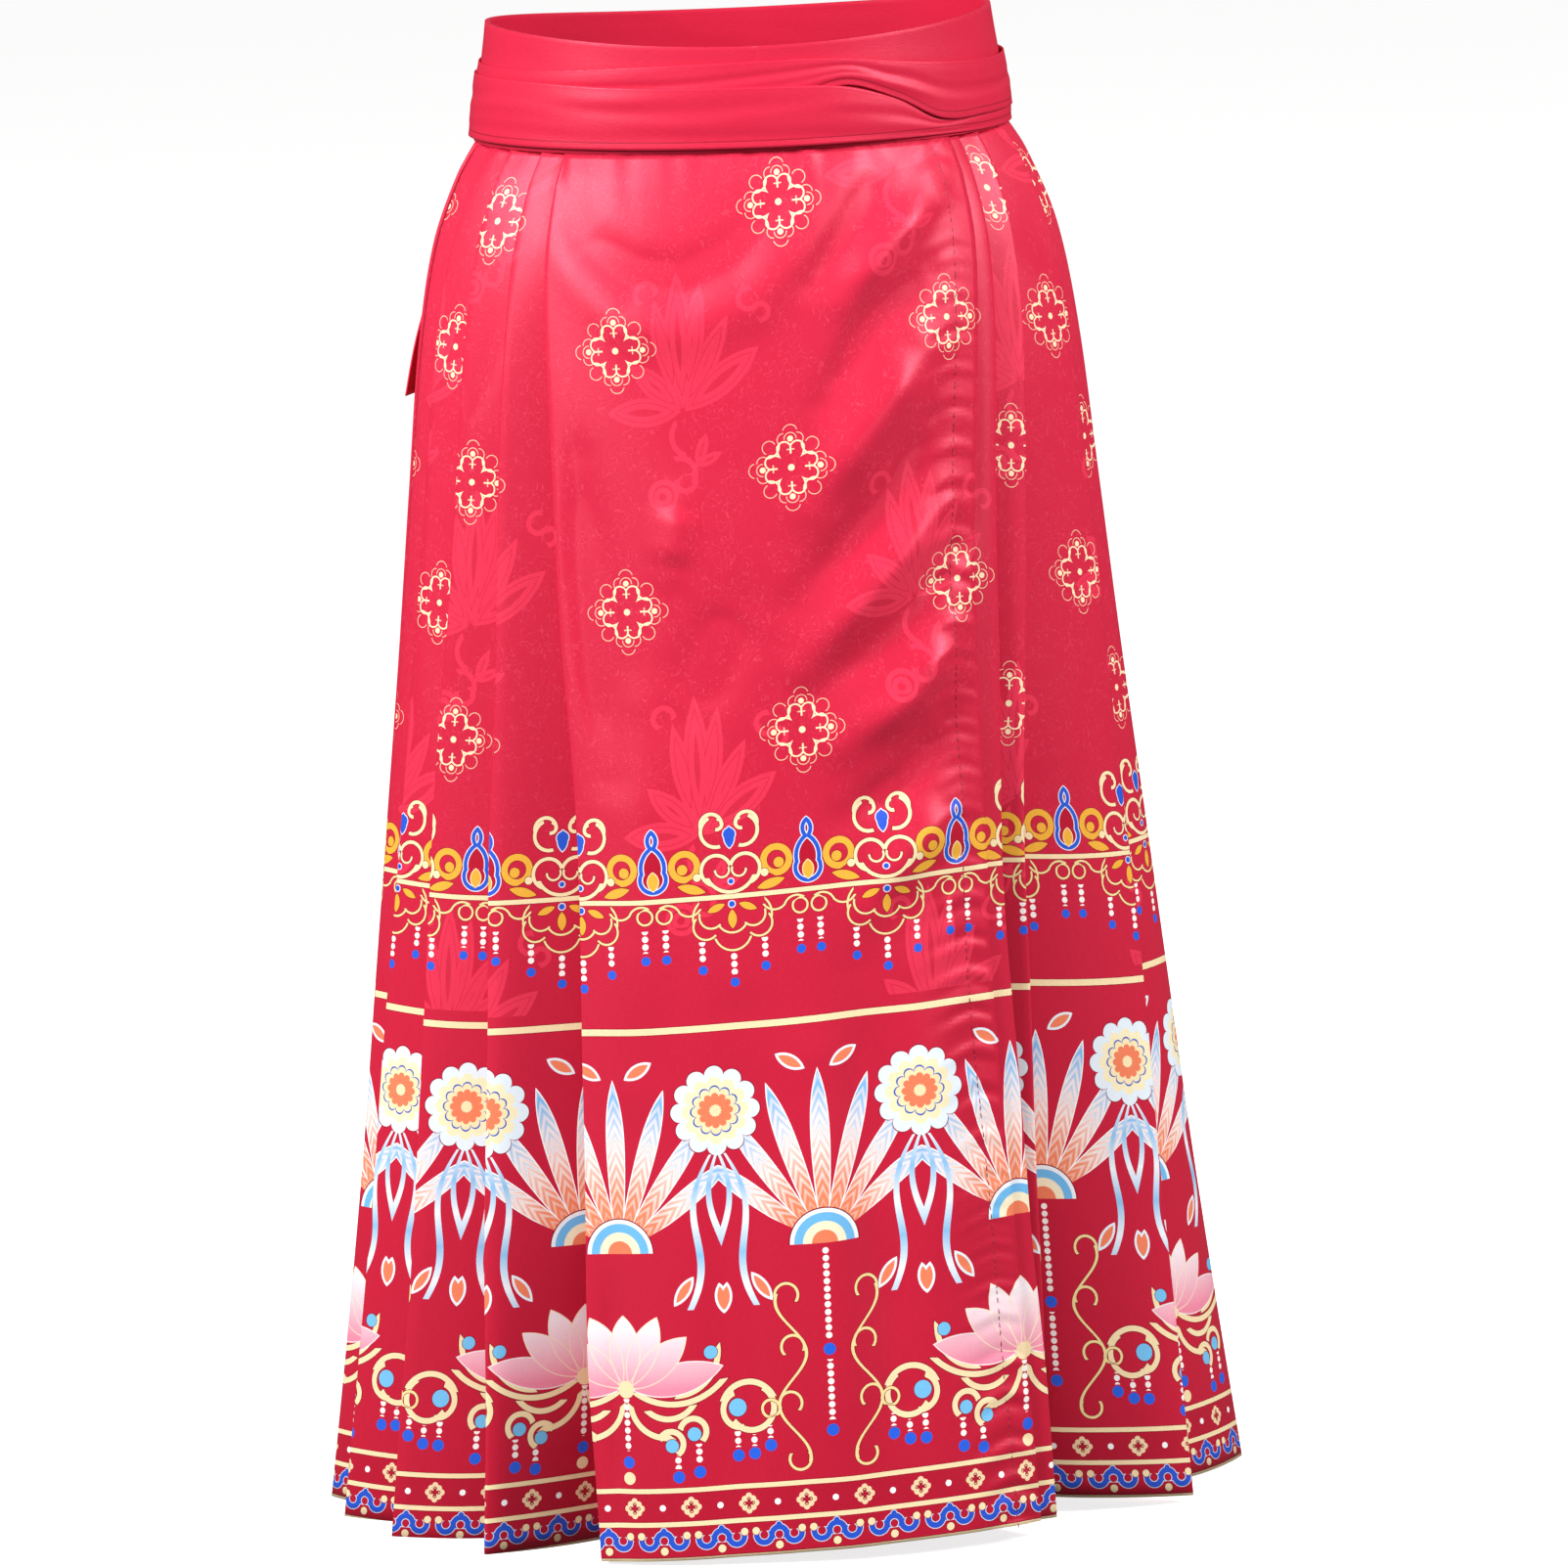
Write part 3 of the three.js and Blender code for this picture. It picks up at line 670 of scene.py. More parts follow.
def spots(put, point, rows):
    """Distance in mm to the rims of round dots, given as x, y and radius."""
    fields = [put("SUBTRACT", put("VectorMath.DISTANCE", point, (x, y, 0)), r) for x, y, r in rows]
    return least(put, fields)


def petal(put, point, foot, tip, bulge):
    """Distance to a pointed petal from its foot to its tip, where two circles overlap."""
    foot, tip = Vector(foot), Vector(tip)
    half = (tip - foot) / 2
    across = Vector((-half.y, half.x)).normalized()
    radius = (half.length ** 2 + bulge ** 2) / (2 * bulge)
    sides = []
    for sign in (-1, 1):
        centre = foot + half + across * (sign * (radius - bulge))
        sides.append(put("VectorMath.DISTANCE", point, (centre.x, centre.y, 0)))
    return put("SUBTRACT", put("MAXIMUM", *sides), radius)


def petals(put, point, rows):
    return least(put, [petal(put, point, *row) for row in rows])


# Dyes
CREAM = "#FBE3B4"
MAROON = "#7A0F1E"
WINE = "#8E1226"
GOLD = "#F2B33E"
PALE_GOLD = "#F8DE9E"
CORAL = "#F4845E"
ICE = "#DCE6F6"
SAPPHIRE = "#1F5AD2"
WHITE = "#FFFFFF"

# Heights and repeats of the print, in millimetres above the hem and round the skirt
PRINT_START = 8.0
HEM_BAND_TOP = 34.0
TONAL_FOOT = 262.0
ROSETTE_FOOT = 368.0
ROSETTE_STEP = (83, 63)
ROSETTE_HEIGHT = 646
TONAL_STEP = (111, 102)
TONAL_PLACE = (51, 553)
HEM_REPEAT = 28.0
BORDER_REPEAT = 200.0
CROWN_REPEAT = 75.0
PICTURE_REPEAT = 100.0
FAN_FOOT = 148.0
BLOSSOM_HEIGHT = 215.0
RIBBON_TOP = 196.0

# The motifs, in millimetres: x from a motif's middle line, y above the hem. An arc's row gives its
# centre, radius, the way it faces and its spread to each side; a petal's its foot, tip and bulge.
HEM_CLOUDS = [(0, 9.6, 3.6, 90, 95), (7.3, 9.8, 3.7, -90, 92)]
RUNG_LINES = [(0.6, 0.7), (17.4, 1.15), (33.6, 1.15), (255.0, 1.6), (317.5, 1.15)]
SCROLLS = [
    (24, 108, 33, -84, 38), (60, 70, 13.5, 92, 60), (61.5, 71, 10.8, -45, 95), (56, 70.5, 8.6, -165, 75),
    (25, 100, 21, -42, 42), (21, 83, 15, -85, 42), (32.5, 61.5, 6.3, 60, 95), (20, 77, 18, -128, 40),
    (21.5, 56, 6, 50, 95),
]
FILIGREE = [
    (80.5, 124, 5.6, 80, 110), (84, 45, 5.2, -90, 115), (82.6, 99, 5.5, 100, 115), (80.4, 72, 5.4, 80, 115),
    (70.8, 70, 4.2, 100, 140),
]
VINE_MIDDLE = (82.0, 84.0)
VINE_SWING = 7.0
VINE_REACH = 40.0
CROWN = [
    (7.0, 330.4, 7.2, 45, 110), (0, 332, 12.4, -90, 62), (6.4, 349, 7.4, -20, 78), (8.6, 352.4, 5.2, 80, 90),
    (5.9, 352.6, 2.6, 190, 75),
]
CROWN_THIN = [(4.1, 330.4, 3.4, -100, 95)]
GOLD_CURLS = [(22.3, 333.2, 6.2, 60, 150), (23.4, 331.8, 0.9)]
LEAVES = [((12.5, 320.3), (26, 324), 2.2), ((0, 311.2), (0, 302), 2.1), ((3.4, 314), (12, 310.6), 1.7)]
SCALLOPS = [
    (0, 307.7, 7.6, -90, 55), (10.2, 308.5, 5.8, -60, 72), (0, 300.7, 9.1, -90, 68),
    (12.9, 303.7, 6.2, -48, 85), (9.5, 308, 9.6, 15, 28), (20.8, 315.6, 6.3, -95, 50),
    (32.9, 310.2, 3.6, -60, 150), (31.2, 309, 6.2, 105, 45),
]
DROPS = [((0, 322.5), (0, 344.5), 6.4), ((0, 341.5), (0, 352), 2.8)]
ROSETTE = [(9.2, 3.2, 3.3, 20, 75), (9.5, -2.5, 9.0, 117, 26), (10.9, 10.9, 5.4, 225, 42)]
ROSETTE_RIM = [
    (13.8, 0, 2.9, 0, 90), (13.6, 3.4, 2.9, 70, 70), (17.0, 0, 3.5, 0, 72), (10.4, 10.4, 3.2, 45, 105),
]
ROSETTE_DOTS = [(0, 0, 1.6), (13.8, 0, 1.4)]
LOTUS = [
    ((0, 84), (0, 118), 8), ((2, 84), (17, 117), 7), ((3, 83), (31, 107), 7), ((4, 82), (48, 92), 7.5),
]
TONAL_LOTUS = [
    ((0, 0), (-1, 66), 6.6), ((-3, 6), (-12, 53), 5), ((2, 6), (10.6, 60), 5.4), ((1, 0), (23.5, 43.5), 5.4),
    ((1, -1), (37.7, 26.6), 7.2), ((-1, 0), (-25, 23), 5.8), ((-1, -1), (-37.3, 0), 7.0),
    ((5.5, -28), (11, -12.5), 2.8), ((5.5, -28), (18, -22), 2.6),
]
TONAL_STEM = [
    (4, -13, 10, 195, 48), (-3, -31.5, 8, 35, 60), (0.2, -34.8, 4.6, -70, 110), (-11, -41, 6.6, 165, 150),
    (-11.5, -41.5, 3.2, 90, 130), (34, 50, 5, 200, 110), (39, 43, 4, 30, 110), (-16, 56, 5, 120, 110),
]
BUDS = [((14, 136), (24, 122), 3.2), ((2, 132), (0, 117), 3.2), ((30, 240), (44, 232), 3.4)]

# Strings of beads: distance from the motif's middle, lowest and highest bead, and height of the end bead
PENDANTS = [
    (0, 53, 78, 47.5), (24.7, 44, 50.5, 40), (35, 46.5, 55.5, 42), (54, 52.5, 60, 48.5), (62, 52.5, 58, 49),
    (70, 56, 62, 52.5), (100, 102, 146, 97), (100, 63, 92, 58),
]
TASSELS = [(0, 280, 290.4, 276.2), (15.2, 286.5, 296.5, 282.9), (32.6, 293, 303.5, 289.2)]
BEAD_PITCH = 3.7
BEAD_RADIUS = 1.5

# Every satin has a low, tinted gloss, because its dyed filaments colour what they reflect
SATIN_GLOSS = {"IOR": 1.5, "Specular IOR Level": 0.6, "Specular Tint": "#FF9AAE", "Anisotropic": 0.35}
THREAD_DEPTH = 0.00025


def printed_satin():
    """Polyester satin with a transfer print: the dyes lie in the cloth, so it keeps the satin's sheen."""
    material, put = new_material("printed_satin")
    plane = put("VectorMath.MULTIPLY", put("UVMap", uv_map="print"), (1000, 1000, 1))
    along_cloth, v, _ = put("SeparateXYZ", plane).node.outputs
    u = put("SUBTRACT", along_cloth, PRINT_START)

    def dye(mask, shade):
        nonlocal colour
        colour = put("Mix", mask, colour, shade, data_type="RGBA")

    def dye_rings(field, *rings):
        for limit, shade in rings:
            dye(put("LESS_THAN", field, limit), shade)

    # Ground: brighter towards the waist, deepest in the hem band. The fade from hem to waist is painted
    # light, standing for the light that falls on the cloth from above.
    colour = put("Mix", put("MapRange", v, 0, 620, 0, 1), "#C01A35", "#D42745", data_type="RGBA")
    dye(put("MULTIPLY", put("LESS_THAN", v, HEM_BAND_TOP), 0.35), "#A00F27")

    # Tone on tone: fine wandering lines, and large lotus flowers on curled stems
    stretched = put("VectorMath.MULTIPLY", plane, (0.15, 0.11, 1))
    field = put("TexNoise", stretched, 1.0, 2.0, noise_dimensions="2D")
    squiggle = put("LESS_THAN", put("PINGPONG", put("MULTIPLY", field, 5), 0.5), 0.055)
    broken = put("GREATER_THAN", put("TexNoise", plane, 0.07, 1.0, noise_dimensions="2D"), 0.44)
    dye(put("MULTIPLY", squiggle, broken, put("MapRange", v, TONAL_FOOT, 420, 0, 1), 0.2), "#F8607C")
    across_step, up_step = TONAL_STEP
    start, middle = TONAL_PLACE
    shifted = put("ADD", u, start)
    column = put("ROUND", put("DIVIDE", shifted, across_step))
    along = put("MULTIPLY_ADD", column, -across_step, shifted)
    height = put("WRAP", put("MULTIPLY_ADD", column, up_step, v), 2 * up_step + 473, 473)
    place = put("CombineXYZ", along, put("SUBTRACT", height, middle))
    flower = petals(put, place, TONAL_LOTUS)
    stem = arcs(put, place, TONAL_STEM)
    plain = put("GREATER_THAN", v, TONAL_FOOT)
    tonal = put("MAXIMUM", put("LESS_THAN", flower, 0.0), put("LESS_THAN", stem, 1.3))
    dye(put("MULTIPLY", tonal, plain, 0.6), "#F23C5A")
    vein = put("MAXIMUM", put("COMPARE", flower, -2.3, 0.2), put("LESS_THAN", flower, -5.2))
    dye(put("MULTIPLY", vein, plain, 0.5), "#B8132E")

    # Rosettes in a half-drop repeat
    across_step, up_step = ROSETTE_STEP
    step = put("ROUND", put("DIVIDE", u, across_step))
    dx = put("ABSOLUTE", put("MULTIPLY_ADD", step, -across_step, u))
    dropped = put("MULTIPLY_ADD", step, -up_step, put("SUBTRACT", v, ROSETTE_HEIGHT))
    dy = put("ABSOLUTE", put("WRAP", dropped, up_step, -up_step))
    long_way = put("MAXIMUM", dx, dy)
    short_way = least(put, (dx, dy))
    folded = put("CombineXYZ", long_way, short_way)
    stalk = put("MULTIPLY", put("COMPARE", long_way, 9, 2.4), put("LESS_THAN", short_way, 0.42))
    barb = put("MULTIPLY", put("COMPARE", long_way, 8.7, 0.3), put("LESS_THAN", short_way, 1.9), 0.7)
    lines = put("LESS_THAN", arcs(put, folded, ROSETTE), 0.38)
    rim = put("MULTIPLY", put("LESS_THAN", arcs(put, folded, ROSETTE_RIM), 0.22), 0.65)
    dots = put("LESS_THAN", spots(put, folded, ROSETTE_DOTS), 0.0)
    rosette = put("MAXIMUM", lines, dots, stalk, barb, rim)
    dye(put("MULTIPLY", rosette, put("GREATER_THAN", v, ROSETTE_FOOT)), "#FBE8BE")

    # Cream lines round the skirt
    for centre, half in RUNG_LINES:
        dye(put("MULTIPLY", put("COMPARE", v, centre, half + 0.35), 0.75), MAROON)
        dye(put("COMPARE", v, centre, half), CREAM)

    # Hem band
    near = put("PINGPONG", u, HEM_REPEAT / 2)
    hem_point = put("CombineXYZ", near, v)
    hub = put("ADD", spots(put, hem_point, [(0, 14.4, 1.3)]), 1.3)
    dye_rings(least(put, (arcs(put, hem_point, HEM_CLOUDS), hub)), (1.7, ICE), (1.35, "#1F55CC"))
    dye_rings(spots(put, hem_point, [(0, 4.6, 1.9), (11.2, 11.9, 1.8)]), (0.3, MAROON), (0.0, CREAM))
    far = put("ABSOLUTE", put("SUBTRACT", near, HEM_REPEAT / 2))
    rise = put("ABSOLUTE", put("SUBTRACT", v, 25.4))
    bloom_point = put("CombineXYZ", put("MAXIMUM", far, rise), least(put, (far, rise)))
    dye_rings(spots(put, bloom_point, [(3.5, 0, 1.5), (2.0, 2.0, 1.55)]), (0.0, "#F7D9AE"))
    dye_rings(arcs(put, bloom_point, [(1.9, 0, 0.8)]), (0.22, WINE))
    dye_rings(spots(put, hem_point, [(0, 25.4, 1.5)]), (0.0, WHITE))

    # Lower border: scrolls, pendants and lotus
    x = put("PINGPONG", put("ADD", u, BORDER_REPEAT / 2), BORDER_REPEAT / 2)
    point = put("CombineXYZ", x, v)
    dye_rings(arcs(put, point, SCROLLS), (1.75, MAROON), (1.4, CREAM))
    bend = put("COSINE", put("MULTIPLY", put("SUBTRACT", v, 96), math.pi / 25))
    vine = put("SUBTRACT", x, put("MULTIPLY_ADD", bend, VINE_SWING, VINE_MIDDLE[0]))
    away = put("SUBTRACT", put("ABSOLUTE", put("SUBTRACT", v, VINE_MIDDLE[1])), VINE_REACH)
    vine = put("MULTIPLY", put("MAXIMUM", put("ABSOLUTE", vine), away), 0.85)
    dye_rings(least(put, (arcs(put, point, FILIGREE), vine)), (0.95, MAROON), (0.65, PALE_GOLD))
    lotus = petals(put, point, LOTUS)
    pink = put("Mix", put("MapRange", v, 82, 112, 0, 1), "#F58FA8", "#FDF0F4", data_type="RGBA")
    dye(put("LESS_THAN", lotus, 0.0), pink)
    dye(put("MULTIPLY", put("COMPARE", lotus, 0.0, 0.3), 0.7), WHITE)
    for row in LOTUS[:3]:
        dye(put("MULTIPLY", put("COMPARE", petal(put, point, *row), 0.0, 0.28), 0.8), "#FCE6C8")
    pale = spots(put, point, [(54.5, 71.5, 4.3), (22, 55, 3.2), (33, 60.3, 3.3), (42.5, 99, 3.2)])
    dye_rings(pale, (0.3, MAROON), (0.0, "#74C3F2"))
    dye_rings(spots(put, point, [(0, 82.5, 4.2), (0, 39.8, 3.0)]), (0.0, CREAM))

    # Crown border: drops between jewelled crowns, with bead tassels under them
    near = put("PINGPONG", u, CROWN_REPEAT / 2)
    away = put("SUBTRACT", CROWN_REPEAT / 2, near)
    crown_point = put("CombineXYZ", away, v)
    drop_point = put("CombineXYZ", near, v)
    drop = least(put, (petals(put, drop_point, DROPS), spots(put, drop_point, [(0, 328, 7.0)])))
    dye_rings(drop, (0.6, ICE), (0.1, SAPPHIRE), (-1.8, "#E6ECF8"), (-2.3, "#B8152F"))
    dye_rings(petal(put, drop_point, (0, 322.6), (0, 331.5), 2.5), (0.4, "#F9E7C0"), (0.0, GOLD))
    dye_rings(arcs(put, crown_point, GOLD_CURLS), (1.95, WINE), (1.6, GOLD))
    dye_rings(petals(put, crown_point, LEAVES), (0.35, WINE), (0.0, GOLD))
    thin = put("ADD", arcs(put, crown_point, CROWN_THIN), 0.35)
    knob = put("ADD", spots(put, crown_point, [(16.4, 327.6, 1.9)]), 0.85)
    dye_rings(least(put, (arcs(put, crown_point, CROWN), thin, knob)), (1.15, MAROON), (0.85, CREAM))
    dye_rings(arcs(put, crown_point, SCALLOPS), (0.75, MAROON), (0.5, PALE_GOLD))
    jewels = spots(put, crown_point, [(0, 347.4, 2.9), (0, 324.7, 1.2), (0, 313.8, 1.4)])
    jewels = least(put, (jewels, petal(put, crown_point, (0, 340.8), (0, 351), 2.4)))
    dye_rings(jewels, (0.5, ICE), (0.0, SAPPHIRE))

    # Beads
    beads = put("PINGPONG", v, BEAD_PITCH / 2)
    strings = []
    for from_middle, rows in ((x, PENDANTS), (away, TASSELS)):
        for distance, low, high, end in rows:
            bead = put("VectorMath.LENGTH", put("CombineXYZ", put("SUBTRACT", from_middle, distance), beads))
            here = put("COMPARE", v, (low + high) / 2, (high - low) / 2)
            strings.append(put("MULTIPLY", put("LESS_THAN", bead, BEAD_RADIUS), here))
    dye(put("MAXIMUM", *strings), "#FFF8F4")
    ends = spots(put, point, [(distance, end, 2.9) for distance, low, high, end in PENDANTS])
    tassel_ends = spots(put, crown_point, [(distance, end, 2.2) for distance, low, high, end in TASSELS])
    dye_rings(least(put, (ends, tassel_ends)), (0.0, "#1F62E0"))

    # Picture band, a generic one: fans of plumes between round blossoms, over streaming ribbons
    across = put("PINGPONG", u, PICTURE_REPEAT / 2)
    above_foot = put("SUBTRACT", v, FAN_FOOT)
    reach = put("VectorMath.LENGTH", put("CombineXYZ", across, above_foot))
    lean = put("ARCTAN2", across, above_foot)
    share = put("DIVIDE", reach, put("MULTIPLY_ADD", put("MULTIPLY", lean, lean), -15, 84))
    offset = put("MULTIPLY", reach, put("SINE", put("PINGPONG", lean, 0.155)))
    taper = put("SUBTRACT", 1, put("POWER", share, 5))
    plume = put("SUBTRACT", offset, put("MULTIPLY", taper, put("SQRT", share), 6.6))
    spread = put("LESS_THAN", lean, 1.08)
    fan = put("MULTIPLY", put("LESS_THAN", plume, 0.0), spread, put("COMPARE", share, 0.6, 0.4))
    barb = put("SINE", put("MULTIPLY_ADD", offset, 2.2, reach))
    barb = put("MULTIPLY_ADD", barb, 0.12, share)
    tip = put("MapRange", barb, 0.25, 0.62, 0, 1)
    feathered = put("Mix", tip, "#F58A62", "#FFF1EC", data_type="RGBA")
    rim = put("MapRange", barb, 0.6, 1.0, 0, 1)
    dye(fan, put("Mix", rim, feathered, "#7DBDF0", data_type="RGBA"))
    dye(put("MULTIPLY", put("COMPARE", plume, -0.25, 0.3), fan), WHITE)
    level = put("GREATER_THAN", v, FAN_FOOT)
    for size, shade in ((17.2, WINE), (16.6, "#F4FAFF"), (14.6, "#6FBDF0"), (10.4, "#FDF1CF"), (6.2, CORAL)):
        dye(put("MULTIPLY", put("LESS_THAN", reach, size), level), shade)

    beside = put("SUBTRACT", PICTURE_REPEAT / 2, across)
    over = put("SUBTRACT", v, BLOSSOM_HEIGHT)
    wide = put("VectorMath.LENGTH", put("CombineXYZ", beside, over))
    lobes = put("COSINE", put("MULTIPLY", put("ARCTAN2", beside, over), 6))
    lobes = put("SQRT", put("ABSOLUTE", lobes))
    for size, wave, shade in (
        (19.5, 4.5, WINE), (19.0, 4.5, "#E8F3FC"), (14.2, 3.6, "#FCEFC4"), (10.6, 2.8, "#2A5FC8"),
        (9.9, 2.6, "#FDE9B8"), (7.4, 2.0, CORAL), (2.6, 0.6, "#FDE9B8"),
    ):
        dye(put("LESS_THAN", wide, put("MULTIPLY_ADD", lobes, wave, size - wave * 0.4)), shade)

    fall = put("SUBTRACT", RIBBON_TOP, v)
    waver = put("MULTIPLY", put("SINE", put("MULTIPLY", fall, 0.075)), 5)
    strand = put("DIVIDE", put("SUBTRACT", beside, waver), put("MULTIPLY_ADD", fall, 0.052, 0.55))
    ribbon = put("LESS_THAN", put("PINGPONG", strand, 2.1), put("MULTIPLY_ADD", fall, -0.008, 0.95))
    ribbon = put("MULTIPLY", ribbon, put("COMPARE", v, 157, 37), put("COMPARE", strand, 1.2, 5.2))
    bands = put("PINGPONG", put("MULTIPLY", fall, 0.06), 1)
    dye(ribbon, put("Mix", bands, "#F2F7FD", "#8CC4EE", data_type="RGBA"))
    dye_rings(petals(put, put("CombineXYZ", beside, v), BUDS), (0.0, "#EAF5FD"), (-1.2, CORAL))

    threads = put("TexNoise", put("VectorMath.MULTIPLY", plane, (0.35, 3.2, 1)), 1.0, 2.0)
    slub = put("TexNoise", put("VectorMath.MULTIPLY", plane, (3.0, 0.12, 1)), 1.0, 2.0)
    woven = put("ADD", threads, put("MULTIPLY", slub, 0.6))
    tone = put("MapRange", woven, 0.4, 1.2, 0.89, 1.07)
    tone = put("CombineColor", tone, tone, tone)
    return set_shader(material, {
        "Base Color": put("Mix", 1.0, colour, tone, data_type="RGBA", blend_type="MULTIPLY"),
        "Roughness": put("MapRange", woven, 0.4, 1.2, 0.33, 0.45),
        "Normal": put("Bump", 0.25, THREAD_DEPTH, None, woven),
        **SATIN_GLOSS,
    })


def plain_satin():
    """The same satin without print: a broad soft sheen over fine threads that run along the band."""
    material, put = new_material("plain_satin")
    place = put("VectorMath.MULTIPLY", put("UVMap", uv_map="print"), (1000, 1000, 1))
    _, up, _ = put("SeparateXYZ", place).node.outputs
    threads = put("TexNoise", put("VectorMath.MULTIPLY", place, (0.25, 3.0, 1)), 1.0, 2.0)
    blotch = put("TexNoise", put("VectorMath.MULTIPLY", place, (0.02, 0.05, 1)), 1.0, 1.0)
    mixed = put("MULTIPLY", put("ADD", threads, blotch), 0.5)
    colour = put("Mix", mixed, "#C31B38", "#D82A48", data_type="RGBA")
    seam = put("MULTIPLY", put("COMPARE", up, SEAM_INSET, 0.28), 0.75)
    groove = put("MULTIPLY", put("COMPARE", up, SEAM_INSET, 0.5), 2)
    return set_shader(material, {
        "Base Color": put("Mix", seam, colour, "#8E1228", data_type="RGBA"),
        "Roughness": put("MapRange", threads, 0.3, 0.7, 0.35, 0.48),
        "Normal": put("Bump", 0.3, THREAD_DEPTH, None, put("SUBTRACT", threads, groove)),
        **SATIN_GLOSS,
    })


def thread():
    """Dark polyester sewing thread with a fine twist."""
    material, put = new_material("thread")
    twist = put("TexNoise", put("VectorMath.MULTIPLY", put("TexCoord"), (1000, 1000, 1000)), 3.0, 1.0)
    shade = put("Mix", twist, "#7C0E22", "#A3172F", data_type="RGBA")
    return set_shader(material, {"Base Color": shade, "Roughness": 0.5})


PRINTED = printed_satin()
PLAIN = plain_satin()
THREAD = thread()

# Cloth panels and pleats
CLOTH_PIECES = {
    "front_panel": ("left", "front_panel"),
    "left_front_pleats": ("left", "front_pleats"),
    "left_back_pleats": ("left", "back_pleats"),
    "back_under_panel": ("left", "back_panel"),
    "front_under_panel": ("right", "front_panel"),
    "right_front_pleats": ("right", "front_pleats"),
    "right_back_pleats": ("right", "back_pleats"),
    "back_panel": ("right", "back_panel"),
}


def stitch_run(name, grid):
    """Machine stitches beside a panel's free edge: short threads sunk in the cloth, joined in one piece."""
    line = []
    for row in grid:
        target = abs(row[0][1]) - STITCH_INSET
        i = next(k for k in range(1, len(row)) if abs(row[k][1]) <= target)
        (p, a, z0, _), (q, b, z1, _) = row[i - 1], row[i]
        t = (abs(a) - target) / (abs(a) - abs(b))
        start, end = Vector((p.x, p.y, z0)), Vector((q.x, q.y, z1))
        line.append((start.lerp(end, t), end - start))
    bm = bmesh.new()
    travelled = 0.0
    for (a, across), (b, _) in zip(line, line[1:]):
        down = b - a
        travelled += down.length
        if travelled < STITCH_PITCH:
            continue
        travelled -= STITCH_PITCH
        normal = across.cross(down).normalized()
        if normal.dot(Vector((a.x, a.y, 0))) < 0:
            normal = -normal
        down.normalize()
        turn = Matrix((down, normal.cross(down), normal)).transposed().to_4x4()
        turn.translation = (b + normal * (SATIN / 2)) * MM
        size = Matrix.Diagonal([length * MM / 2 for length in STITCH_SIZE] + [1])
        bmesh.ops.create_uvsphere(bm, u_segments=6, v_segments=6, radius=1, matrix=turn @ size)
    mesh = bpy.data.meshes.new(name)
    bm.to_mesh(mesh)
    bm.free()
    mesh.materials.append(THREAD)
    run = bpy.data.objects.new(name, mesh)
    bpy.context.scene.collection.objects.link(run)
    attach(run, "root")


for node, (side, part) in CLOTH_PIECES.items():
    grid = cloth_grid(side, part)
    if (side, part) in OUTER_PANELS:
        stitch_run(node + "_stitches", grid)
    rows = [[(p.x, p.y, z) for p, printed, z, above_hem in row] for row in grid]
    uvs = [[(printed * MM, above_hem * MM) for p, printed, z, above_hem in row] for row in grid]
    piece = grid_piece(node + "_cloth", rows, uvs, PRINTED)
    dress(piece, node)


# Waistband
def band_top(degrees):
    facing = math.cos(math.radians(degrees))
    dip = BAND_DIP_FRONT if facing > 0 else BAND_DIP_BACK
    return BAND_TOP - dip * facing * facing


def streaks(degrees, share):
    """Slack lines that run along pulled cloth and drift slowly from edge to edge, in millimetres."""
    drift = share + 0.10 * math.sin(math.radians(degrees * 1.7 + 30))
    drift += 0.05 * math.sin(math.radians(degrees * 4.1))
    fine = 0.5 + 0.5 * math.sin(math.radians(degrees * 2.3 + 80))
    body = math.sin(math.pi * share)
    return body * (0.26 * math.sin(11 * drift + 0.6) + 0.15 * fine * math.sin(23 * drift + 2))


def band_rows(columns=200, steps=28):
    rows = []
    for r in range(steps + 1):
        share = r / steps
        row = []
        for c in range(columns + 1):
            degrees = 360 * c / columns
            z = band_top(degrees) + (BAND_FOOT - band_top(degrees)) * share
            soft = math.sin(math.pi * share)
            wave = 0.5 * streaks(degrees, share) + 0.15 * soft * math.sin(math.radians(degrees * 11))
            p = round_point(band_ellipse(z), degrees, BAND_WALL / 2 + wave)
            row.append((p.x, p.y, z))
        rows.append(row)
    return rows


def cloth_uvs(rows):
    """Places on a plain piece in metres, along its length and up from its foot."""
    uvs = []
    for row in rows:
        along = [0.0]
        for a, b in zip(row, row[1:]):
            along.append(along[-1] + (Vector(b) - Vector(a)).length * MM)
        uvs.append([(s, (point[2] - foot[2]) * MM) for s, point, foot in zip(along, row, rows[-1])])
    return uvs


rows = band_rows()
band = grid_piece("waistband_cloth", rows, cloth_uvs(rows), PLAIN, wall=BAND_WALL, closed=True)
bevel = band.modifiers.new("edge", "BEVEL")
bevel.width = BAND_EDGE * MM
bevel.segments = 2
bevel.limit_method = "ANGLE"
dress(band, "waistband")


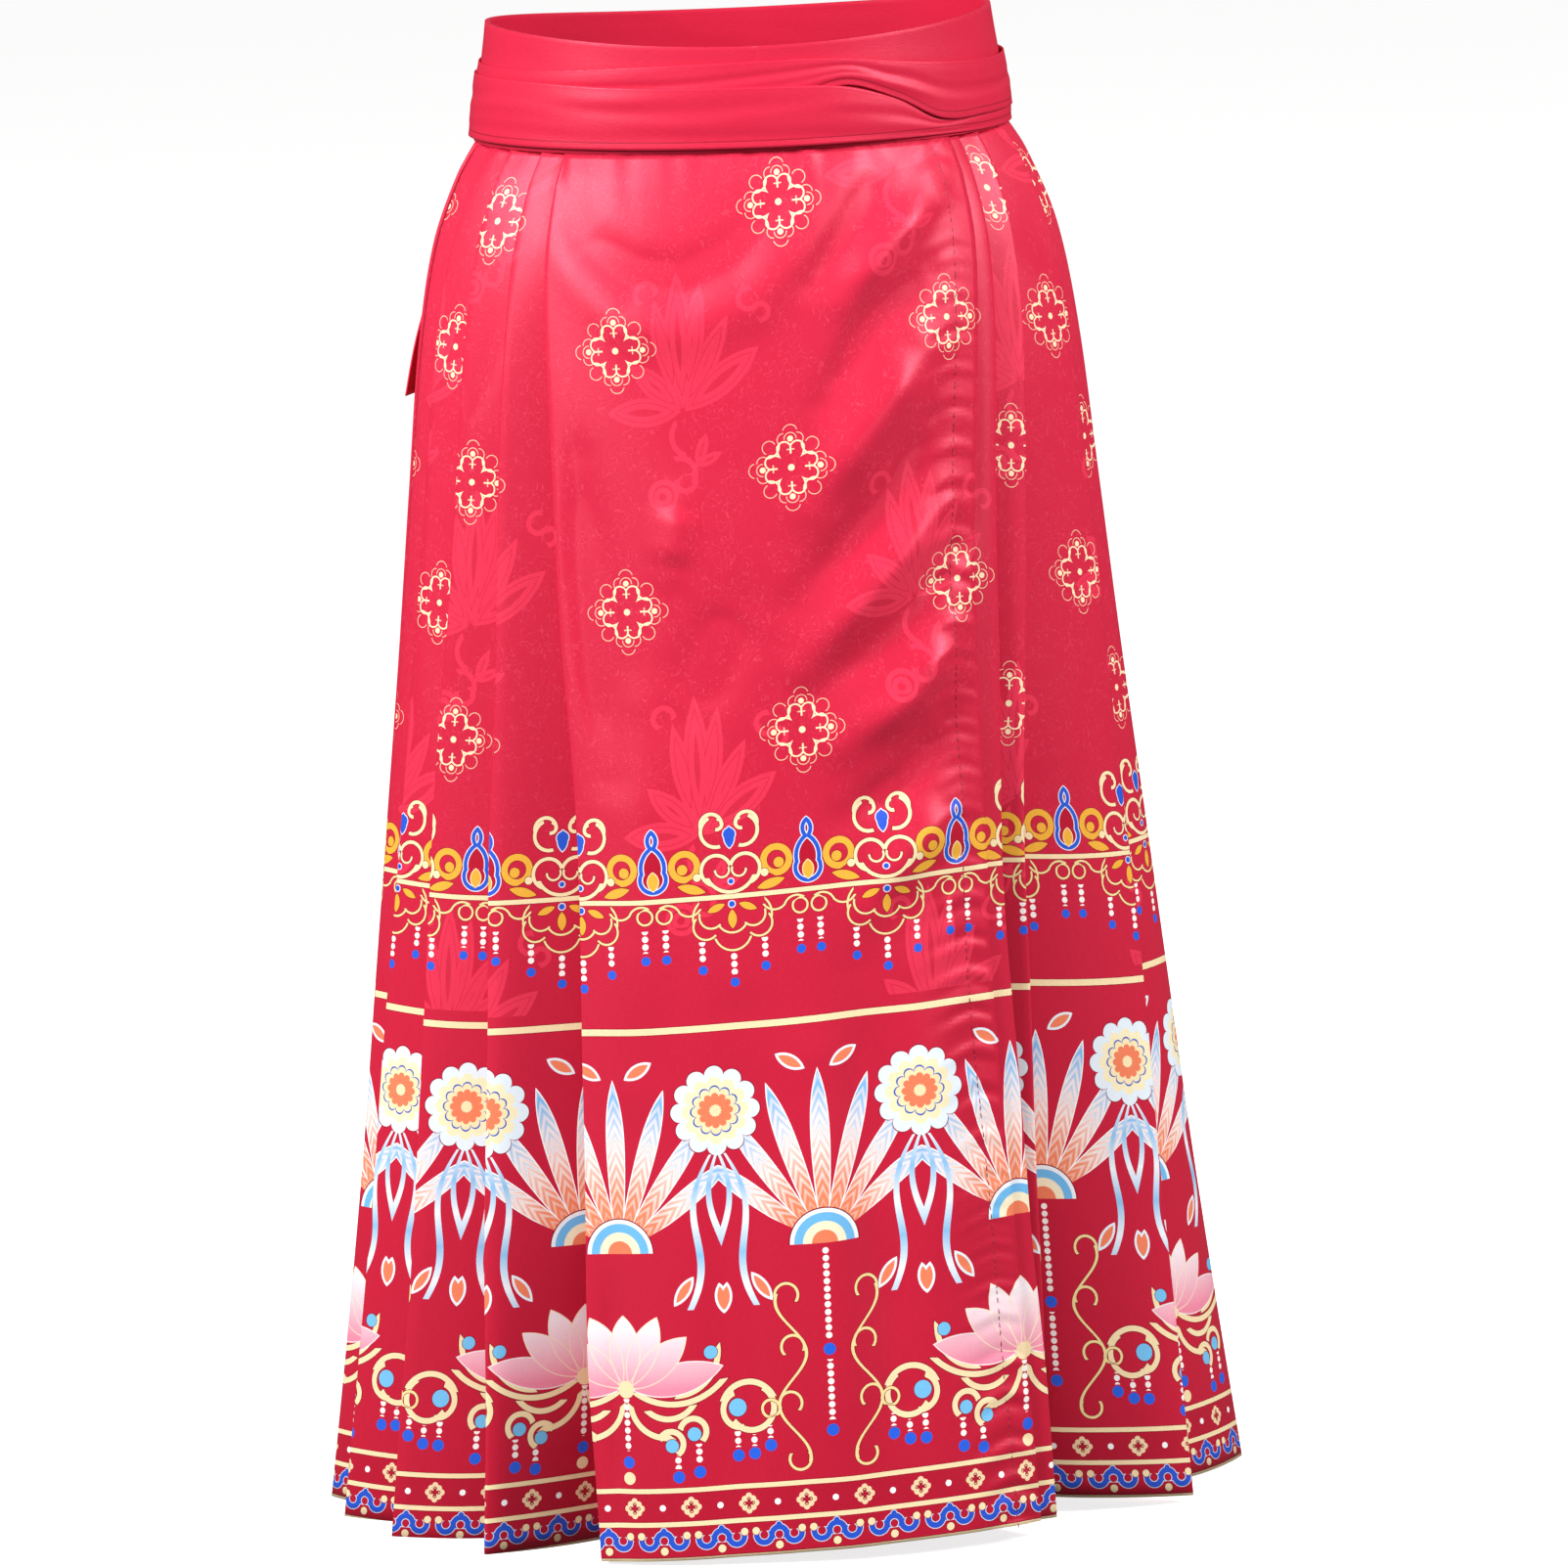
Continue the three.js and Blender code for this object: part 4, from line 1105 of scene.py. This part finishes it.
def tie_rows(name, columns=260, steps=24):
    course = TIE_COURSES[name]
    first, last = course[0]["angle"], course[-1]["angle"]
    rows = []
    for r in range(steps + 1):
        share = r / steps
        row = []
        for c in range(columns + 1):
            degrees = first + (last - first) * c / columns
            foot = look_up(course, "angle", "foot", degrees)
            top = look_up(course, "angle", "top", degrees)
            layer = look_up(course, "angle", "layer", degrees)
            z = top + (foot - top) * share
            rise = 0.2 * math.sin(math.pi * share) + streaks(degrees + 90 * layer, share)
            for fold in TIE_FOLDS[name]:
                (d0, s0), (d1, s1) = fold["from"], fold["to"]
                t = (degrees - d0) / (d1 - d0)
                middle = s0 + (s1 - s0) * t
                fade = smooth(-0.15, 0.25, t) * (1 - smooth(0.75, 1.15, t))
                rise += fold["rise"] * fade * math.exp(-((share - middle) / 0.13) ** 2)
            edge = smooth(0, 0.12, share) * (1 - smooth(0.88, 1, share))
            out = SEAM_GAP + layer * TIE_STEP + TIE_WALL / 2 + max(rise * edge, -0.3)
            p = round_point(band_ellipse(z), degrees, -out)
            row.append((p.x, p.y, z))
        rows.append(row)
    return rows


for name in TIE_COURSES:
    rows = tie_rows(name)
    tie = grid_piece(name + "_cloth", rows, cloth_uvs(rows), PLAIN, wall=TIE_CLOTH)
    dress(tie, name)


def knot_rows(columns=40, steps=28):
    """The knot's folded cloth: a soft pad pinched at its waist, with wraps that cross it."""
    rows = []
    seat = 2 * SEAM_GAP + TIE_STEP + TIE_WALL
    for r in range(steps + 1):
        up = 1 - 2 * r / steps
        row = []
        for c in range(columns + 1):
            across = 2 * c / columns - 1
            z = KNOT["foot"] + (KNOT["top"] - KNOT["foot"]) * (up + 1) / 2
            swell = math.sqrt(max((1 - across * across) * (1 - up * up), 0))
            wraps = 0.9 * math.sin(7 * across + 2.5 * up) + 0.5 * math.sin(13 * across - 3 * up)
            out = seat + KNOT["rim"] / 2 + (KNOT["bulge"] + wraps) * swell
            waist = 1 - 0.25 * up * up
            p = round_point(band_ellipse(z), KNOT_ANGLE + across * KNOT["half_angle"] * waist, -out)
            row.append((p.x, p.y, z))
        rows.append(row)
    return rows


rows = knot_rows()
knot = grid_piece("tie_knot_cloth", rows, cloth_uvs(rows), PLAIN, wall=KNOT_CLOTH)
dress(knot, "tie_knot")


def tail_rows(stations, columns=20, steps=90):
    """A hanging tie end: fluted where it leaves the knot, with slack folds that slant and die out."""
    first, last = stations[0]["z"], stations[-1]["z"]
    rows = []
    for r in range(steps + 1):
        z = first + (last - first) * r / steps
        ellipse = band_ellipse(z) if z > CLOTH_TOP else skirt_ellipse(z)
        middle = look_up(stations, "z", "angle", z)
        out = look_up(stations, "z", "out", z)
        half = look_up(stations, "z", "width", z) / 2 / per_degree(ellipse, middle)
        row = []
        for c in range(columns + 1):
            across = 2 * c / columns - 1
            degrees = middle + half * across
            body = math.cos(math.pi * across / 2)
            flute = 1.1 * math.cos(3 * math.pi * across) * math.exp(-(first - z) / 26)
            slack = 0.55 * body * math.sin((first - z) / 14 + 3 * across) * math.exp(-(first - z) / 90)
            roll = 0.5 * body * math.sin((first - z) / 37 + 1)
            rise = max(body * flute + slack + roll, -0.9) * smooth(0, 6, first - z)
            p = round_point(ellipse, degrees, -(out + TIE_WALL / 2 + rise))
            row.append((p.x, p.y, z))
        rows.append(row)
    return rows


for name, stations in TAILS.items():
    rows = tail_rows(stations)
    tail = grid_piece(name + "_cloth", rows, cloth_uvs(rows), PLAIN, wall=TAIL_CLOTH)
    dress(tail, name)

# Floor and background
bpy.ops.mesh.primitive_plane_add(size=30, location=(0, 0, FLOOR * MM))
floor = bpy.context.object
floor.name = "studio_floor"
paper, put = new_material("studio_paper")
seen = put("LightPath")
set_shader(paper, {
    "Base Color": put("Mix", seen, "#6E6E6E", "#F4F3F2", data_type="RGBA"),
    "Roughness": 0.9,
    "Emission Color": WHITE,
    "Emission Strength": put("MULTIPLY", seen, 0.8),
})
floor.data.materials.append(paper)

# Light: a white studio sweep that looks white but lights the cloth little, so the key shapes it
world = bpy.data.worlds.new("studio")
bpy.context.scene.world = world
world.use_nodes = True
put = partial(add_node, world.node_tree)
background = world.node_tree.nodes["Background"]
background.inputs[0].default_value = hex_colour(WHITE)
world.node_tree.links.new(put("MapRange", put("LightPath"), 0, 1, 0.13, 1.0), background.inputs[1])
bpy.context.scene.view_settings.view_transform = "Standard"


def softbox(name, place, target, size, watts):
    light = bpy.data.lights.new(name, "AREA")
    light.shape = "RECTANGLE"
    light.size, light.size_y = size
    light.energy = watts
    lamp = bpy.data.objects.new(name, light)
    lamp.location = place
    lamp.rotation_euler = (Vector(target) - Vector(place)).to_track_quat("-Z", "Y").to_euler()
    bpy.context.scene.collection.objects.link(lamp)


softbox("key_light", (-2.3, -1.4, 1.5), (0, 0, -0.25), (1.3, 1.5), 154)
softbox("fill_light", (2.4, -1.4, 1.5), (0, 0, -0.2), (0.9, 1.2), 118)

# Camera, at the photograph's angle
PHOTO_PIXELS = 1603
FOCAL_PIXELS = 12500
ROLL = math.radians(1.95)
AZIMUTH = math.radians(-4.5)
CAMERA_HEIGHT = 0.64
CAMERA_DISTANCE = 6.0
SHIFT_PIXELS = (-21.0, -16.0)
TARGET = Vector((0, 0, -0.352))
level = math.sqrt(CAMERA_DISTANCE ** 2 - CAMERA_HEIGHT ** 2)
camera_data = bpy.data.cameras.new("camera")
camera_data.sensor_width = 36
camera_data.lens = 36 * FOCAL_PIXELS / PHOTO_PIXELS
camera_data.shift_x = -SHIFT_PIXELS[0] / PHOTO_PIXELS
camera_data.shift_y = SHIFT_PIXELS[1] / PHOTO_PIXELS
camera_data.clip_end = 50
camera = bpy.data.objects.new("camera", camera_data)
camera.location = (level * math.sin(AZIMUTH), -level * math.cos(AZIMUTH), CAMERA_HEIGHT)
view = (TARGET - camera.location).to_track_quat("-Z", "Y").to_matrix()
camera.rotation_euler = (view @ Matrix.Rotation(-ROLL, 3, "Z")).to_euler()
bpy.context.scene.collection.objects.link(camera)
bpy.context.scene.camera = camera
